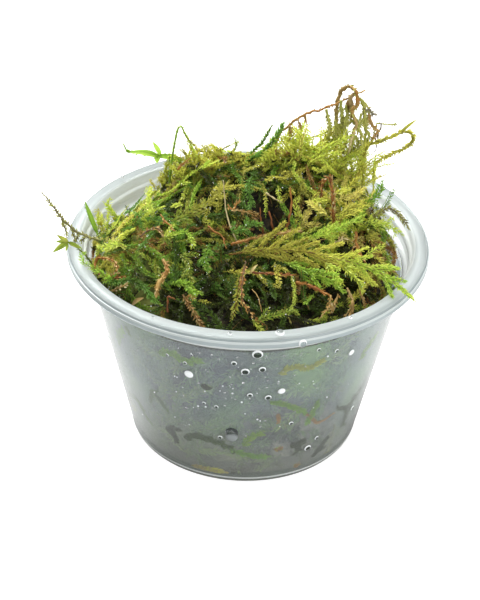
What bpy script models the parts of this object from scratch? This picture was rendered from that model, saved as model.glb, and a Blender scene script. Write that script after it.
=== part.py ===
"""A clump of wet moss, heaped in a clear round plastic cup.

The cup stands at the origin on +Z. The moss fills it and rises past the rim, highest at
the back right (+X, +Y). Single shoots and dry stems lie on the heap or stand out of it.
"""

import math

import bmesh
import bpy
import numpy as np
from mathutils import Vector, noise

MM = 0.001

# The cup, in millimetres: a 118 ml (4 oz) portion cup.
RIM_RADIUS = 39.0
CUP_HEIGHT = 48.2
WALL = 0.7
BASE_RADIUS = 25.6
BASE_CORNER = 2.6
WALL_TOP_RADIUS = 34.1
LEDGE_HEIGHT = 41.5
LEDGE_STEP = 1.1
CUP_STEPS = 56

# The rolled rim's section, from its foot outside to its foot inside, as distances out from
# the rim's widest radius and up from the cup's top.
RIM_OUTSIDE = ((-0.8, -0.3), (0.0, -1.0), (0.0, -2.9), (-0.7, -2.9), (-0.8, -1.4), (-2.3, -0.9), (-2.9, -1.6))
RIM_INSIDE = ((-3.6, -1.0), (-2.2, 0.0))

# The heap of moss: its gaps to the cup, and its outline, which follows the cup up to one
# height and a round disc of its own from a second one.
FLOOR_GAP = 0.35
WALL_GAP = 0.8
FOOT_ROUNDING = 4.0
FOOT_ROUNDED_TO = 7.0
LEDGE_CLEARED_AT = LEDGE_HEIGHT + 3.0
CUP_SHAPED_TO = 34.0
DISC_SHAPED_FROM = 44.0
HEAP_CENTRE = Vector((0.0, 0.0, 24.0))
HEAP_DISC = (-1.0, -2.0, 32.5)
FILL_HEIGHT = 45.5
MOUNDS = (
    # x, y, height, spread
    (-9, 12, 12, 11),
    (13, 11, 13, 11),
    (-22, -4, 5, 10),
    (23, -1, 6, 9),
    (-2, -16, 4, 13),
    (-28, 19, -7, 8),
)
EDGE_FALL = 4.0
EDGE_FALLS_FROM = 0.8
EDGE_FALLS_AT_MOST = 1.5
FARTHEST = 60.0
HALVINGS = 24

# Its surface: lumps all over, pointed tufts on top, and pits under the shoots that lie on it.
HEAP_CUTS = 18
LUMP_SIZE = 7.0
LUMP_DEPTH = 1.6
FINE_LUMPS = 2.1
TUFT_SPACING = 4.6
TUFT_LENGTH = 4.2
TUFT_CLEARANCE = 4.0
TUFTS_FROM = 47.0
SHOOT_GAP = 0.6
PIT_FLOOR = 1.5
PIT_SLOPE = 2.2
PITS_FROM = 5.0

# How much thicker every other point of a shoot is, and how finely its lines are followed.
BEAD = 0.16
SHOOT_SAMPLES = 6


def clear_scene():
    for thing in list(bpy.data.objects):
        bpy.data.objects.remove(thing)
    for mesh in list(bpy.data.meshes):
        bpy.data.meshes.remove(mesh)


def material(name, colour, roughness, alpha=1.0):
    made = bpy.data.materials.new(name)
    made.use_nodes = True
    shader = made.node_tree.nodes["Principled BSDF"]
    shader.inputs["Base Color"].default_value = (*colour, 1.0)
    shader.inputs["Roughness"].default_value = roughness
    shader.inputs["Metallic"].default_value = 0.0
    shader.inputs["Alpha"].default_value = alpha
    return made


def place(thing, collection, finish):
    collection.objects.link(thing)
    thing.data.materials.append(finish)
    return thing


# ---- the cup ------------------------------------------------------------------------


def arc(centre, radius, start, end, steps):
    """Points on a circle in the profile's plane, from one angle to another, in degrees."""
    points = []
    for step in range(steps + 1):
        angle = math.radians(start + (end - start) * step / steps)
        points.append((centre[0] + radius * math.cos(angle), centre[1] + radius * math.sin(angle)))
    return points


def cup_profile():
    """The wall's section, as radius and height: inner floor, inner side, rim, outer side."""
    corner_centre = (BASE_RADIUS - BASE_CORNER, BASE_CORNER)
    inner_top_radius = WALL_TOP_RADIUS - WALL
    inner = [(0.0, WALL)]
    inner += arc(corner_centre, BASE_CORNER - WALL, -90, 0, 3)
    inner.append((inner_top_radius, LEDGE_HEIGHT + 0.2))
    inner.append((inner_top_radius, LEDGE_HEIGHT + 0.9))
    inner.append((inner_top_radius + LEDGE_STEP, LEDGE_HEIGHT + 2.3))
    rim = [(RIM_RADIUS + out, CUP_HEIGHT + up) for out, up in RIM_INSIDE + RIM_OUTSIDE]
    outer = [(WALL_TOP_RADIUS + LEDGE_STEP, LEDGE_HEIGHT + 2.0)]
    outer.append((WALL_TOP_RADIUS, LEDGE_HEIGHT + 0.6))
    outer.append((WALL_TOP_RADIUS, LEDGE_HEIGHT))
    outer += arc(corner_centre, BASE_CORNER, 0, -90, 4)
    return inner + rim + outer + [(0.0, 0.0)]


def make_cup(collection):
    profile = cup_profile()
    mesh = bpy.data.meshes.new("cup")
    verts = [(r * MM, 0.0, z * MM) for r, z in profile]
    edges = [(i, i + 1) for i in range(len(verts) - 1)]
    mesh.from_pydata(verts, edges, [])
    cup = bpy.data.objects.new("cup", mesh)
    place(cup, collection, material("clear_cup", (0.86, 0.91, 0.91), 0.3, 0.4))
    turn = cup.modifiers.new("turn", "SCREW")
    turn.axis = "Z"
    turn.steps = CUP_STEPS
    turn.render_steps = CUP_STEPS
    turn.use_merge_vertices = True
    turn.merge_threshold = 0.00005
    turn.use_smooth_shade = False
    return cup


# ---- the heap of moss ---------------------------------------------------------------


def cup_room(height):
    """How far from the cup's axis the moss may reach at a height."""
    low = BASE_RADIUS - WALL - WALL_GAP
    high = WALL_TOP_RADIUS - WALL - WALL_GAP
    share = min(max((height - BASE_CORNER) / (LEDGE_HEIGHT - BASE_CORNER), 0.0), 1.0)
    rounding = max(0.0, 1.0 - height / FOOT_ROUNDED_TO) ** 2 * FOOT_ROUNDING
    step = LEDGE_STEP if height > LEDGE_CLEARED_AT else 0.0
    return low + (high - low) * share - rounding + step


def heap_top(x, y):
    """The height of the heap's surface over a point of the plan."""
    height = FILL_HEIGHT
    for mound_x, mound_y, rise, spread in MOUNDS:
        height += rise * math.exp(-((x - mound_x) ** 2 + (y - mound_y) ** 2) / (2 * spread**2))
    outward = math.hypot(x - HEAP_DISC[0], y - HEAP_DISC[1]) / HEAP_DISC[2]
    edge = (outward - EDGE_FALLS_FROM) / (1 - EDGE_FALLS_FROM)
    return height - EDGE_FALL * min(max(edge, 0.0), EDGE_FALLS_AT_MOST) ** 2


def in_heap(point):
    x, y, z = point
    if z < WALL + FLOOR_GAP or z > heap_top(x, y):
        return False
    rise = min(max((z - CUP_SHAPED_TO) / (DISC_SHAPED_FROM - CUP_SHAPED_TO), 0.0), 1.0)
    centre = (HEAP_DISC[0] * rise, HEAP_DISC[1] * rise)
    reach = cup_room(z) * (1 - rise) + HEAP_DISC[2] * rise
    in_cup = math.hypot(x, y) < cup_room(z)
    return in_cup and math.hypot(x - centre[0], y - centre[1]) < reach


def heap_reach(direction):
    """How far the heap goes from its centre in a direction, found by halving the span."""
    near = 0.0
    far = FARTHEST
    for _ in range(HALVINGS):
        middle = (near + far) / 2
        if in_heap(HEAP_CENTRE + direction * middle):
            near = middle
        else:
            far = middle
    return near


def lump(point):
    """Between 0 and 1: 0 on a lump's crown, 1 in the hollow between lumps."""
    wave = noise.noise(point / LUMP_SIZE) + 0.5 * noise.noise(point / LUMP_SIZE * FINE_LUMPS)
    return min(max(0.5 - wave, 0.0), 1.0)


def press_under(direction, reach, shoots):
    """The reach, cut back where a shoot lies on the heap, so that it doesn't touch it."""
    axis = np.array(direction)
    along = shoots["points"] @ axis
    aside = np.linalg.norm(shoots["points"] - along[:, None] * axis, axis=1)
    past_the_pit = np.maximum(aside - shoots["radius"] - PIT_FLOOR, 0.0)
    limit = along - shoots["radius"] - SHOOT_GAP + PIT_SLOPE * past_the_pit
    return min(reach, float(np.where(along > PITS_FROM, limit, reach).min()))


def make_heap(collection, shoots):
    """A cube, cut into squares and blown up to the heap's outline, with lumps and tufts."""
    bm = bmesh.new()
    bmesh.ops.create_cube(bm, size=2.0)
    bmesh.ops.subdivide_edges(bm, edges=bm.edges, cuts=HEAP_CUTS - 1, use_grid_fill=True)
    tufts = []
    for vert in bm.verts:
        square = Vector([math.tan(side * math.pi / 4) for side in vert.co])
        direction = square.normalized()
        surface = heap_reach(direction)
        point = HEAP_CENTRE + direction * surface
        reach = surface - LUMP_DEPTH * lump(point)
        free = float(np.linalg.norm(shoots["points"] - np.array(direction) * surface, axis=1).min())
        apart = min([(point - other).length for other in tufts], default=math.inf)
        if point.z > TUFTS_FROM and free > TUFT_CLEARANCE and apart > TUFT_SPACING:
            tufts.append(point)
            reach += TUFT_LENGTH * (0.6 + 0.4 * noise.noise(point))
        vert.co = (HEAP_CENTRE + direction * press_under(direction, reach, shoots)) * MM
    bmesh.ops.triangulate(bm, faces=bm.faces)
    mesh = bpy.data.meshes.new("moss_heap")
    bm.to_mesh(mesh)
    bm.free()
    heap = bpy.data.objects.new("moss_heap", mesh)
    place(heap, collection, material("moss_green", (0.16, 0.2, 0.04), 0.7))
    return heap


# ---- the shoots ---------------------------------------------------------------------
# Each shoot has its half width in millimetres and its lines: the first is its stem, from
# the heap to the tip, and each further line is a side shoot that starts at that point of
# the stem. A cup of moss is no drawing, so the points are laid by hand, on whole or half
# millimetres.

LEAFY = "moss_leafy"
DRY = "moss_dry"

SHOOTS = {
    # the tall loose shoots at the back right
    "arch_stem": (
        DRY,
        0.4,
        [
            (5, 12, 57), (5.5, 13, 63), (6.5, 13, 66.5), (9, 13, 69), (11.5, 13, 71),
            (15.5, 13, 72.5), (20, 13.5, 74.5), (24, 14, 76.5),
        ],
        [(11.5, 13, 71), (11.5, 12.5, 68.5)],
    ),
    "bent_shoot": (
        DRY,
        0.7,
        [
            (19, 14.5, 56), (18.5, 16, 66.5), (18.5, 16, 72.5), (19, 15.5, 75.5),
            (20.5, 14, 77.3), (22, 12, 77), (22.5, 11, 75), (21.5, 11, 72.5),
            (22.5, 11, 70), (21.5, 11, 66.5), (21, 10.5, 62.5), (20.5, 10, 58),
        ],
    ),
    "string_back": (DRY, 0.35, [(20.5, 16.5, 54), (20, 17.7, 60), (20, 18, 66), (19.5, 18, 71)]),
    "string_right": (
        DRY,
        0.35,
        [
            (23.5, 15, 54), (24, 16, 58), (25, 16.5, 62.5), (25, 17, 65.5), (25.5, 17, 70),
            (23.5, 17, 73),
        ],
    ),
    "string_twig": (
        DRY,
        0.35,
        [(23.5, 12, 55), (24, 13, 60), (25.5, 13.5, 63.5), (26.5, 13.5, 66), (27, 13.5, 69)],
        [(27, 13.5, 69), (29, 14.3, 68.5), (31.5, 14.7, 68.2)],
    ),
    "loop_shoot": (
        LEAFY,
        0.7,
        [
            (24.5, 10.5, 56), (25, 11.5, 64), (28, 12, 65.5), (30.5, 12.5, 66.5),
            (33, 13, 67.5), (35, 13, 67), (35.5, 12.5, 65.5), (33.5, 11.5, 64.3),
            (30.5, 11, 63), (27, 9.5, 61), (27, 8, 54),
        ],
        [(33, 13, 67.5), (35, 13.5, 69.5)],
    ),
    "fringe_shoot_1": (
        LEAFY,
        1.0,
        [(1.5, 14, 56), (3, 15, 59.5), (5.5, 15, 62), (8.5, 15.3, 65), (13, 15.5, 67.5)],
    ),
    "fringe_shoot_2": (LEAFY, 1.0, [(7, 12.5, 57), (8, 12.3, 63), (9, 11.8, 67)]),
    "fringe_shoot_3": (LEAFY, 1.0, [(11.5, 13, 57), (11.5, 13.3, 62), (12, 12.5, 66)]),
    "fringe_shoot_4": (
        LEAFY,
        1.1,
        [(16, 12, 57), (16.5, 13, 62.5), (16.5, 13, 66.5), (17, 13, 69)],
    ),
    "fringe_shoot_5": (
        LEAFY,
        0.9,
        [(7, 8.5, 55), (8, 9.3, 58.7), (12, 9.7, 61.2), (16, 10, 63.7), (18.7, 9.5, 66)],
    ),
    "fringe_shoot_6": (LEAFY, 1.0, [(24, 6.5, 54), (24.5, 8, 60), (23.5, 9, 63)]),
    "dark_shoot": (
        LEAFY,
        1.0,
        [
            (-2, 9, 55.5), (-0.5, 11, 60), (2.5, 11, 62.5), (4.5, 11, 65), (6, 11, 67.5),
            (7, 11, 70),
        ],
    ),
    "dark_side_shoot": (
        LEAFY,
        0.5,
        [(-1, 12.5, 56), (0.5, 13.7, 61), (2.5, 13.7, 63.5), (3.5, 13, 66), (4.5, 13, 68)],
    ),
    # the left side
    "hooked_shoot": (
        LEAFY,
        0.5,
        [(-5, 12, 56), (-4.5, 14, 59.5), (-3, 14, 62.5), (-3.5, 14, 64.5)],
    ),
    "pale_shoot_left": (
        LEAFY,
        0.8,
        [
            (-13, 12.5, 55), (-16, 14, 59), (-19.5, 14, 59.7), (-23, 14, 60),
            (-26.5, 14, 60.5), (-27.5, 14, 62),
        ],
        [(-19.5, 14, 59.7), (-21, 14, 62.2)],
    ),
    "thin_arch": (
        LEAFY,
        0.4,
        [
            (-17.5, 10, 54), (-17, 11, 59), (-16.5, 11, 63), (-15.7, 11, 67.5),
            (-15, 11, 68.5), (-14.3, 11, 67.3), (-13, 11, 64.5), (-11.5, 11, 61),
            (-10.5, 11, 57),
        ],
    ),
    "wisp": (
        DRY,
        0.4,
        [
            (-29.5, -4, 48), (-35, -4, 49.7), (-37.5, -4, 51.5), (-39.5, -4, 54),
            (-41.5, -4, 57), (-43.5, -4, 60),
        ],
    ),
    "leafy_tip": (
        LEAFY,
        0.5,
        [
            (-29.5, -9.5, 46.5), (-33, -8.5, 49.2), (-36.5, -8, 50), (-39, -8, 50.5),
            (-40.7, -8, 52),
        ],
        [(-39, -8, 50.5), (-41.5, -8.5, 48.7)],
    ),
    "spike_left": (LEAFY, 0.6, [(-31, 3, 44.5), (-34, 4, 48), (-35, 5, 50), (-36, 6, 52.5)]),
    "pale_tuft_a": (LEAFY, 0.8, [(-27, 7, 45.5), (-30, 8, 48.5), (-31, 9, 50)]),
    "pale_tuft_b": (LEAFY, 0.7, [(-30, 6, 43), (-32.5, 7, 46.5), (-32.7, 8, 48.7)]),
    "rim_shoot": (
        LEAFY,
        0.8,
        [(-27, -17.5, 46.5), (-31, -18, 49.8), (-34, -15, 49.9), (-35, -12, 50)],
    ),
    "bright_shoot": (
        LEAFY,
        1.0,
        [(-15.5, -22.5, 49.8), (-13.5, -23, 50.5), (-11.5, -24, 50.5), (-11, -26.5, 49.3)],
    ),
    "brown_shoot": (
        DRY,
        0.6,
        [(-17.5, -15.5, 51.3), (-16.5, -19, 51), (-18, -22.5, 50.2), (-18.5, -25, 48.3)],
    ),
    # the middle
    "straw_stem": (
        DRY,
        0.3,
        [(-1.5, -11, 51), (-2.5, -10, 53), (-4, -7.8, 55.5), (-5, -5, 58.5), (-5.5, -2.5, 63)],
    ),
    "brown_stick_a": (DRY, 0.35, [(3.5, -8.5, 52), (2.5, -6.5, 56), (2.3, -5.5, 58.3)]),
    "brown_stick_b": (DRY, 0.35, [(5.8, -8, 52), (5, -7, 55.5), (4.2, -5.5, 57.5)]),
    "red_stick": (DRY, 0.4, [(7.5, -7.5, 52.5), (8.5, -7, 57), (8.7, -5.5, 60), (8.5, -4, 62.5)]),
    "orange_stem": (
        DRY,
        0.45,
        [(-3.5, -12, 53.2), (-0.5, -11.5, 54), (3, -10.5, 54.6), (7, -9.8, 55), (11, -9, 55)],
    ),
    "feather_shoot": (
        LEAFY,
        1.1,
        [
            (-4, -14.5, 52.3), (0.5, -14, 53), (5, -14, 53.5), (9, -14, 53.5),
            (13.5, -15, 53.5), (18.5, -16, 52.8), (23, -17, 52.3), (27.3, -18, 50.9),
            (30.7, -21.5, 50.2), (34, -25.5, 49.3),
        ],
    ),
    "feather_tip_side": (LEAFY, 0.6, [(24.5, -14.7, 53.4), (26.3, -13.5, 53.8), (28, -12.5, 54.3)]),
    "feather_upper_side": (
        LEAFY,
        0.9,
        [
            (11.5, -11.5, 54.9), (14.5, -11, 55.3), (17.5, -10, 56), (21, -8, 56.8),
            (24, -6, 57.5),
        ],
    ),
    "feather_lower_side": (
        LEAFY,
        0.9,
        [(7.5, -16.5, 52), (11, -18, 51.5), (14.5, -20, 51), (19, -21.5, 49.8)],
    ),
    "hanging_shoot": (
        LEAFY,
        0.95,
        [(-0.5, -17.5, 52), (-1.5, -22, 51.3), (-2, -28, 50), (-3, -31.5, 47.7)],
    ),
    "red_twig": (DRY, 0.4, [(10, -21.5, 50.3), (13, -22.3, 50), (17, -24, 48.7)]),
    # the right side
    "brown_upright": (DRY, 0.75, [(18, -6.5, 54), (17.5, -4, 60), (17, -1, 63)]),
    "yellow_shoot_left": (LEAFY, 0.7, [(15, -3.5, 56), (14.3, -3.5, 58), (12.3, -3, 58.7)]),
    "yellow_shoot_right": (LEAFY, 0.7, [(20, -3, 56.5), (22, -2, 59.5), (24.5, 0, 60.7)]),
    "yellow_shoot_top": (LEAFY, 0.7, [(19.5, 0.5, 57.5), (21.5, 1.5, 60.5), (23.5, 3, 61.5)]),
    "fern_shoot": (LEAFY, 0.9, [(22.3, -4, 55.5), (24.5, -3, 58.5), (27, -1.5, 60), (28, 0.5, 62)]),
    "small_shoot_right": (LEAFY, 0.6, [(28, 4.5, 51.5), (30, 6, 54), (31, 7, 56.5)]),
    "pale_shoot_right": (
        LEAFY,
        0.8,
        [(22.5, -5, 52.5), (25.5, -4.5, 54.7), (29.5, -3, 53.5), (33, -2, 50.5)],
    ),
    "dark_twig": (DRY, 0.4, [(26, 0, 53), (29.5, 1, 55.2), (32, 0.5, 54), (34.3, 0, 51)]),
    "low_root": (DRY, 0.5, [(21.5, -23.5, 47.5), (21.5, -24.5, 46), (20.5, -26.5, 44.3)]),
}


def shoot_lines(lines):
    """The points of a shoot in millimetres and the pairs of them that are joined."""
    points = []
    pairs = []
    for line in lines:
        for step, point in enumerate(line):
            if point not in points:
                points.append(point)
            if step:
                pairs.append((points.index(line[step - 1]), points.index(point)))
    return points, pairs


def reach_of_shoots():
    """Close points along every shoot, from the heap's centre, each with the shoot's half width."""
    found = []
    widths = []
    for _, half_width, *lines in SHOOTS.values():
        for line in lines:
            for start, end in zip(line, line[1:]):
                for share in np.linspace(0, 1, SHOOT_SAMPLES):
                    found.append(np.array(start) * (1 - share) + np.array(end) * share)
                    widths.append(half_width)
    return {"points": np.array(found) - np.array(HEAP_CENTRE), "radius": np.array(widths)}


def make_shoot(name, finish, half_width, lines, collection):
    """A shoot's form: a skin round its lines, a little thicker at every other point."""
    points, pairs = shoot_lines(lines)
    mesh = bpy.data.meshes.new(name)
    mesh.from_pydata([Vector(point) * MM for point in points], pairs, [])
    shoot = place(bpy.data.objects.new(name, mesh), collection, finish)
    skin = shoot.modifiers.new("skin", "SKIN")
    skin.use_smooth_shade = False
    for number, spot in enumerate(mesh.skin_vertices[0].data):
        beaded = half_width * (1 + BEAD * (number % 2) - BEAD / 2) * MM
        spot.radius = (beaded, beaded)
        spot.use_root = number == 0
    return shoot


def main():
    clear_scene()
    collection = bpy.data.collections.new("moss_clump")
    bpy.context.scene.collection.children.link(collection)
    make_cup(collection)
    make_heap(collection, reach_of_shoots())
    finishes = {
        LEAFY: material(LEAFY, (0.3, 0.42, 0.06), 0.6),
        DRY: material(DRY, (0.3, 0.16, 0.06), 0.7),
    }
    for name, (finish, half_width, *lines) in SHOOTS.items():
        make_shoot(name, finishes[finish], half_width, lines, collection)


main()
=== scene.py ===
import math

import bpy
import numpy as np
from mathutils import Matrix, Vector, noise


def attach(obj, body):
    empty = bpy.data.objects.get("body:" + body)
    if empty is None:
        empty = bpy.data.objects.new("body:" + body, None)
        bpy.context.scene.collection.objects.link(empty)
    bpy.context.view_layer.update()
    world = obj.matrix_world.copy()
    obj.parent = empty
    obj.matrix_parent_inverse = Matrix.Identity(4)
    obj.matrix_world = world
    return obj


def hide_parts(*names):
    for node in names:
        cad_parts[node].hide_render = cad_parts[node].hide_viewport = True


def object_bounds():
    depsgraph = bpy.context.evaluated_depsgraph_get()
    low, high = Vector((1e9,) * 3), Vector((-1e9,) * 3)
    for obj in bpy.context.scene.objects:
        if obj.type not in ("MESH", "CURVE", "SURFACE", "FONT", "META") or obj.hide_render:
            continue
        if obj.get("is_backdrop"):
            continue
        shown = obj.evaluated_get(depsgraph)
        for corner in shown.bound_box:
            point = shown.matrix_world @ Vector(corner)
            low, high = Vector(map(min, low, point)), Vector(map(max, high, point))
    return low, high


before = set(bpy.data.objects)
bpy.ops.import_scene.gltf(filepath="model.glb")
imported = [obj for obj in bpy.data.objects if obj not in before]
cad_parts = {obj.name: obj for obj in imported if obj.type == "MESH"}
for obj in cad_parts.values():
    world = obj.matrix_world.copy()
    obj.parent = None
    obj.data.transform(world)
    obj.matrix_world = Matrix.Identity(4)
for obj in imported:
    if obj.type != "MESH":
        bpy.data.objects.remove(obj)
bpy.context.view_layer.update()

MM = 0.001

# ==== the cup ==========================================================================
# A thin portion cup, moulded in one piece from milky clear polypropylene. Its wall leans
# out to a stacking ledge, above which it ends in a stepped band and a rolled rim.

CUP_TURNS = 208
BASE_RADIUS = 25.6
BASE_CORNER = 2.6
WALL = 0.7
# How far out the wall leans for each millimetre that it rises.
WALL_SLOPE = 0.2196
FLOOR_RINGS = (12.0, 20.0)
UNDERSIDE = ((22.6, 0.0), (22.2, 0.15), (21.6, 0.2), (12.0, 0.2), (0.0, 0.2))
INNER_LEDGE = (33.4, 41.3)
OUTER_LEDGE = (34.1, 41.2)
# The ledge, the band and the rim, as distances out and up: up their inside to the flat
# crest, round the groove and the lip to the lip's foot, and down their outside.
RIM_INSIDE = [
    (33.42, 41.9), (33.5, 42.2), (33.75, 42.4), (34.1, 42.6), (34.4, 42.8), (34.5, 43.1), (34.6, 43.9),
    (34.72, 44.0), (34.66, 44.15), (34.72, 45.0), (34.85, 45.35), (35.2, 45.5), (35.4, 45.7), (35.5, 46.6),
    (35.65, 47.3), (35.95, 47.8), (36.3, 48.1), (36.8, 48.2), (37.5, 48.2), (38.1, 48.08), (38.4, 47.85),
]
RIM_LIP = [
    (38.5, 47.4), (38.56, 47.0), (38.66, 46.88), (38.76, 47.02), (38.84, 47.1), (38.95, 46.95), (39.0, 46.6),
    (39.0, 45.95), (38.9, 45.68), (38.6, 45.62), (38.38, 45.75),
]
RIM_OUTSIDE = [
    (38.3, 46.0), (38.2, 46.4), (37.9, 46.8), (37.4, 47.1), (36.9, 47.2), (36.4, 47.0), (36.15, 46.6),
    (36.05, 45.9), (35.8, 45.3), (35.45, 44.9), (35.3, 44.5), (35.2, 43.4), (35.1, 42.8), (34.7, 42.35),
    (34.3, 42.1), (34.12, 41.8),
]


def arc(centre, radius, start, end, steps):
    """Points on a circle in the cup's section, from one angle to another, in degrees."""
    turn = np.radians(np.linspace(start, end, steps + 1))
    return [(centre[0] + radius * math.cos(t), centre[1] + radius * math.sin(t)) for t in turn]


def wall_side(low, high, steps=12):
    """Points along a straight stretch of wall, without its two ends."""
    share = np.arange(1, steps) / steps
    return [(low[0] + (high[0] - low[0]) * s, low[1] + (high[1] - low[1]) * s) for s in share]


corner = (BASE_RADIUS - BASE_CORNER, BASE_CORNER)
cup_section = [(0.0, WALL), *((ring, WALL) for ring in FLOOR_RINGS)]
cup_section += [*arc(corner, BASE_CORNER - WALL, -90, 0, 7)]
cup_section += [*wall_side((BASE_RADIUS - WALL, BASE_CORNER), INNER_LEDGE), INNER_LEDGE]
cup_section += RIM_INSIDE + RIM_LIP + RIM_OUTSIDE
cup_section += [OUTER_LEDGE, *wall_side(OUTER_LEDGE, (BASE_RADIUS, BASE_CORNER))]
cup_section += [*arc(corner, BASE_CORNER, 0, -90, 16), *UNDERSIDE]


def around(outs, heights, turns):
    """Points turned about Z: for each turn in order, one point at each distance out and height."""
    angle = np.arange(turns)[:, None] / turns * 2 * math.pi
    heights = np.broadcast_to(heights, (turns, len(outs)))
    return np.stack([np.cos(angle) * outs, np.sin(angle) * outs, heights], 2).reshape(-1, 3)


def round_faces(turns, rows, poles=True):
    """The faces between turns of rows of points, and to the two poles that follow them."""
    faces = []
    for turn in range(turns):
        here, there = turn * rows, (turn + 1) % turns * rows
        faces += [(here + row, here + row + 1, there + row + 1, there + row) for row in range(rows - 1)]
        if poles:
            faces.append((turns * rows, here, there))
            faces.append((turns * rows + 1, there + rows - 1, here + rows - 1))
    return faces


def smooth_object(name, points, faces):
    """A smooth-shaded object in the scene, from points in millimetres."""
    mesh = bpy.data.meshes.new(name)
    mesh.from_pydata(np.array(points) * MM, [], faces)
    mesh.shade_smooth()
    made = bpy.data.objects.new(name, mesh)
    bpy.context.scene.collection.objects.link(made)
    return made


outs, heights = np.array(cup_section[1:-1]).T
points = np.vstack([around(outs, heights, CUP_TURNS), [0, 0, cup_section[0][1]], [0, 0, cup_section[-1][1]]])
cup = smooth_object("clear_cup", points, round_faces(CUP_TURNS, len(outs)))


def new_finish(name, values):
    """A material, its node tree and its shader, which takes the given values."""
    made = bpy.data.materials.new(name)
    made.use_nodes = True
    skin = made.node_tree.nodes["Principled BSDF"]
    for socket, value in values.items():
        skin.inputs[socket].default_value = value
    return made, made.node_tree, skin


def add_node(tree, kind, values=(), feeds=(), **traits):
    """A shader node with its traits, the values of its inputs, and what feeds the others."""
    node = tree.nodes.new("ShaderNode" + kind)
    for trait, value in traits.items():
        setattr(node, trait, value)
    for socket, value in dict(values).items():
        node.inputs[socket].default_value = value
    for socket, source in dict(feeds).items():
        tree.links.new(source, node.inputs[socket])
    return node


def ranged(tree, source, low, high, to_low=0.0, to_high=1.0):
    """An output that goes from to_low to to_high while its source goes from low to high."""
    values = {"From Min": low, "From Max": high, "To Min": to_low, "To Max": to_high}
    return add_node(tree, "MapRange", values, {"Value": source}).outputs["Result"]


def mixed_colour(tree, share, first, second):
    """An output between two colours. Each of them is a colour or the output of a node."""
    ends = {"A": first, "B": second}
    plain = {end: (*colour, 1) for end, colour in ends.items() if isinstance(colour, tuple)}
    fed = {end: colour for end, colour in ends.items() if not isinstance(colour, tuple)}
    return add_node(tree, "Mix", plain, {"Factor": share, **fed}, data_type="RGBA").outputs["Result"]


def combined(tree, how, first, second):
    """An output that takes two outputs together by the named operation."""
    return add_node(tree, "Math", (), {0: first, 1: second}, operation=how).outputs["Value"]


def cloud_noise(tree, scale, detail, **traits):
    """The object's own coordinates, and a noise that lies over them in clouds."""
    place = add_node(tree, "TexCoord").outputs["Object"]
    cloud = add_node(tree, "TexNoise", {"Scale": scale, "Detail": detail}, {"Vector": place}, **traits)
    return place, cloud


def milky_plastic(name, clear, roughness, thin, thick, shine=0.5, bend=1.47):
    """Clear polypropylene with some milk in it, a little uneven as it is moulded. Lamp light
    goes straight on through it, so that what is inside is lit as in a thin real wall."""
    values = {"Transmission Weight": clear, "IOR": bend, "Specular IOR Level": shine}
    plastic, tree, skin = new_finish(name, values)
    cloud = cloud_noise(tree, 90.0, 3.0)[1].outputs["Fac"]
    tree.links.new(mixed_colour(tree, cloud, thin, thick), skin.inputs["Base Color"])
    frost = ranged(tree, cloud, 0.0, 1.0, roughness * 0.85, roughness * 1.15)
    tree.links.new(frost, skin.inputs["Roughness"])
    let_through = 0.35 + 0.6 * clear
    passed = add_node(tree, "BsdfTransparent", {"Color": (let_through, let_through, let_through, 1)})
    ray = add_node(tree, "LightPath").outputs
    lighting = combined(tree, "MAXIMUM", ray["Is Shadow Ray"], ray["Is Diffuse Ray"])
    ends = {"Fac": lighting, 1: skin.outputs["BSDF"], 2: passed.outputs["BSDF"]}
    either = add_node(tree, "MixShader", (), ends)
    tree.links.new(either.outputs["Shader"], tree.nodes["Material Output"].inputs["Surface"])
    return plastic


# The wall is thin and nearly clear, with a greyer foot and, over that, a fine bright edge that is a painted
# highlight in the band's paler plastic. The band is milkier and the rim more so. The groove round the rim,
# given as radius and height from and to, and the underside of the lip carry painted shade in a darker
# plastic. The outermost lip is also painted darker, as painted shade where the lamp light falls on it.
BAND_FROM = 42.2
RIM_FROM = 42.9
BAND_REACH = 36.0
LIP_FROM = 38.74
LIP_FOOT = 46.3
GROOVE_SHADE_BOX = (38.5, 38.74, 46.8, 47.3)
FOOT_TO = 1.95
# A painted highlight along the base's edge, in the band's plastic, runs up to this height and out from this
# radius.
FOOT_HIGHLIGHT_TO = 2.3
FOOT_HIGHLIGHT_FROM = BASE_RADIUS - 0.5
AT_WALL, AT_RIM, AT_GROOVE_SHADE, AT_BAND_AND_HIGHLIGHT, AT_LIP_SHADE, AT_FOOT = range(6)
for plastic in (
    # its name, how clear and how rough it is, its colour where thin and thick, its shine and bend
    ("milky_wall", 0.95, 0.1, (0.79, 0.86, 0.83), (0.87, 0.92, 0.89)),
    ("milky_rim", 0.75, 0.45, (0.52, 0.57, 0.56), (0.61, 0.66, 0.65), 0.1, 1.25),
    # The groove's plastic and the lip's plastic are painted shade.
    ("milky_groove", 0.3, 0.3, (0.34, 0.40, 0.41), (0.44, 0.50, 0.51)),
    # The band's plastic also paints a highlight along the base's edge.
    ("milky_band", 0.5, 0.45, (0.84, 0.89, 0.87), (0.9, 0.94, 0.92), 0.3),
    ("milky_lip", 0.25, 0.3, (0.54, 0.59, 0.58), (0.65, 0.70, 0.69), 0.3),
    ("milky_foot", 0.85, 0.25, (0.4, 0.43, 0.38), (0.5, 0.54, 0.49)),
):
    cup.data.materials.append(milky_plastic(*plastic))
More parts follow.
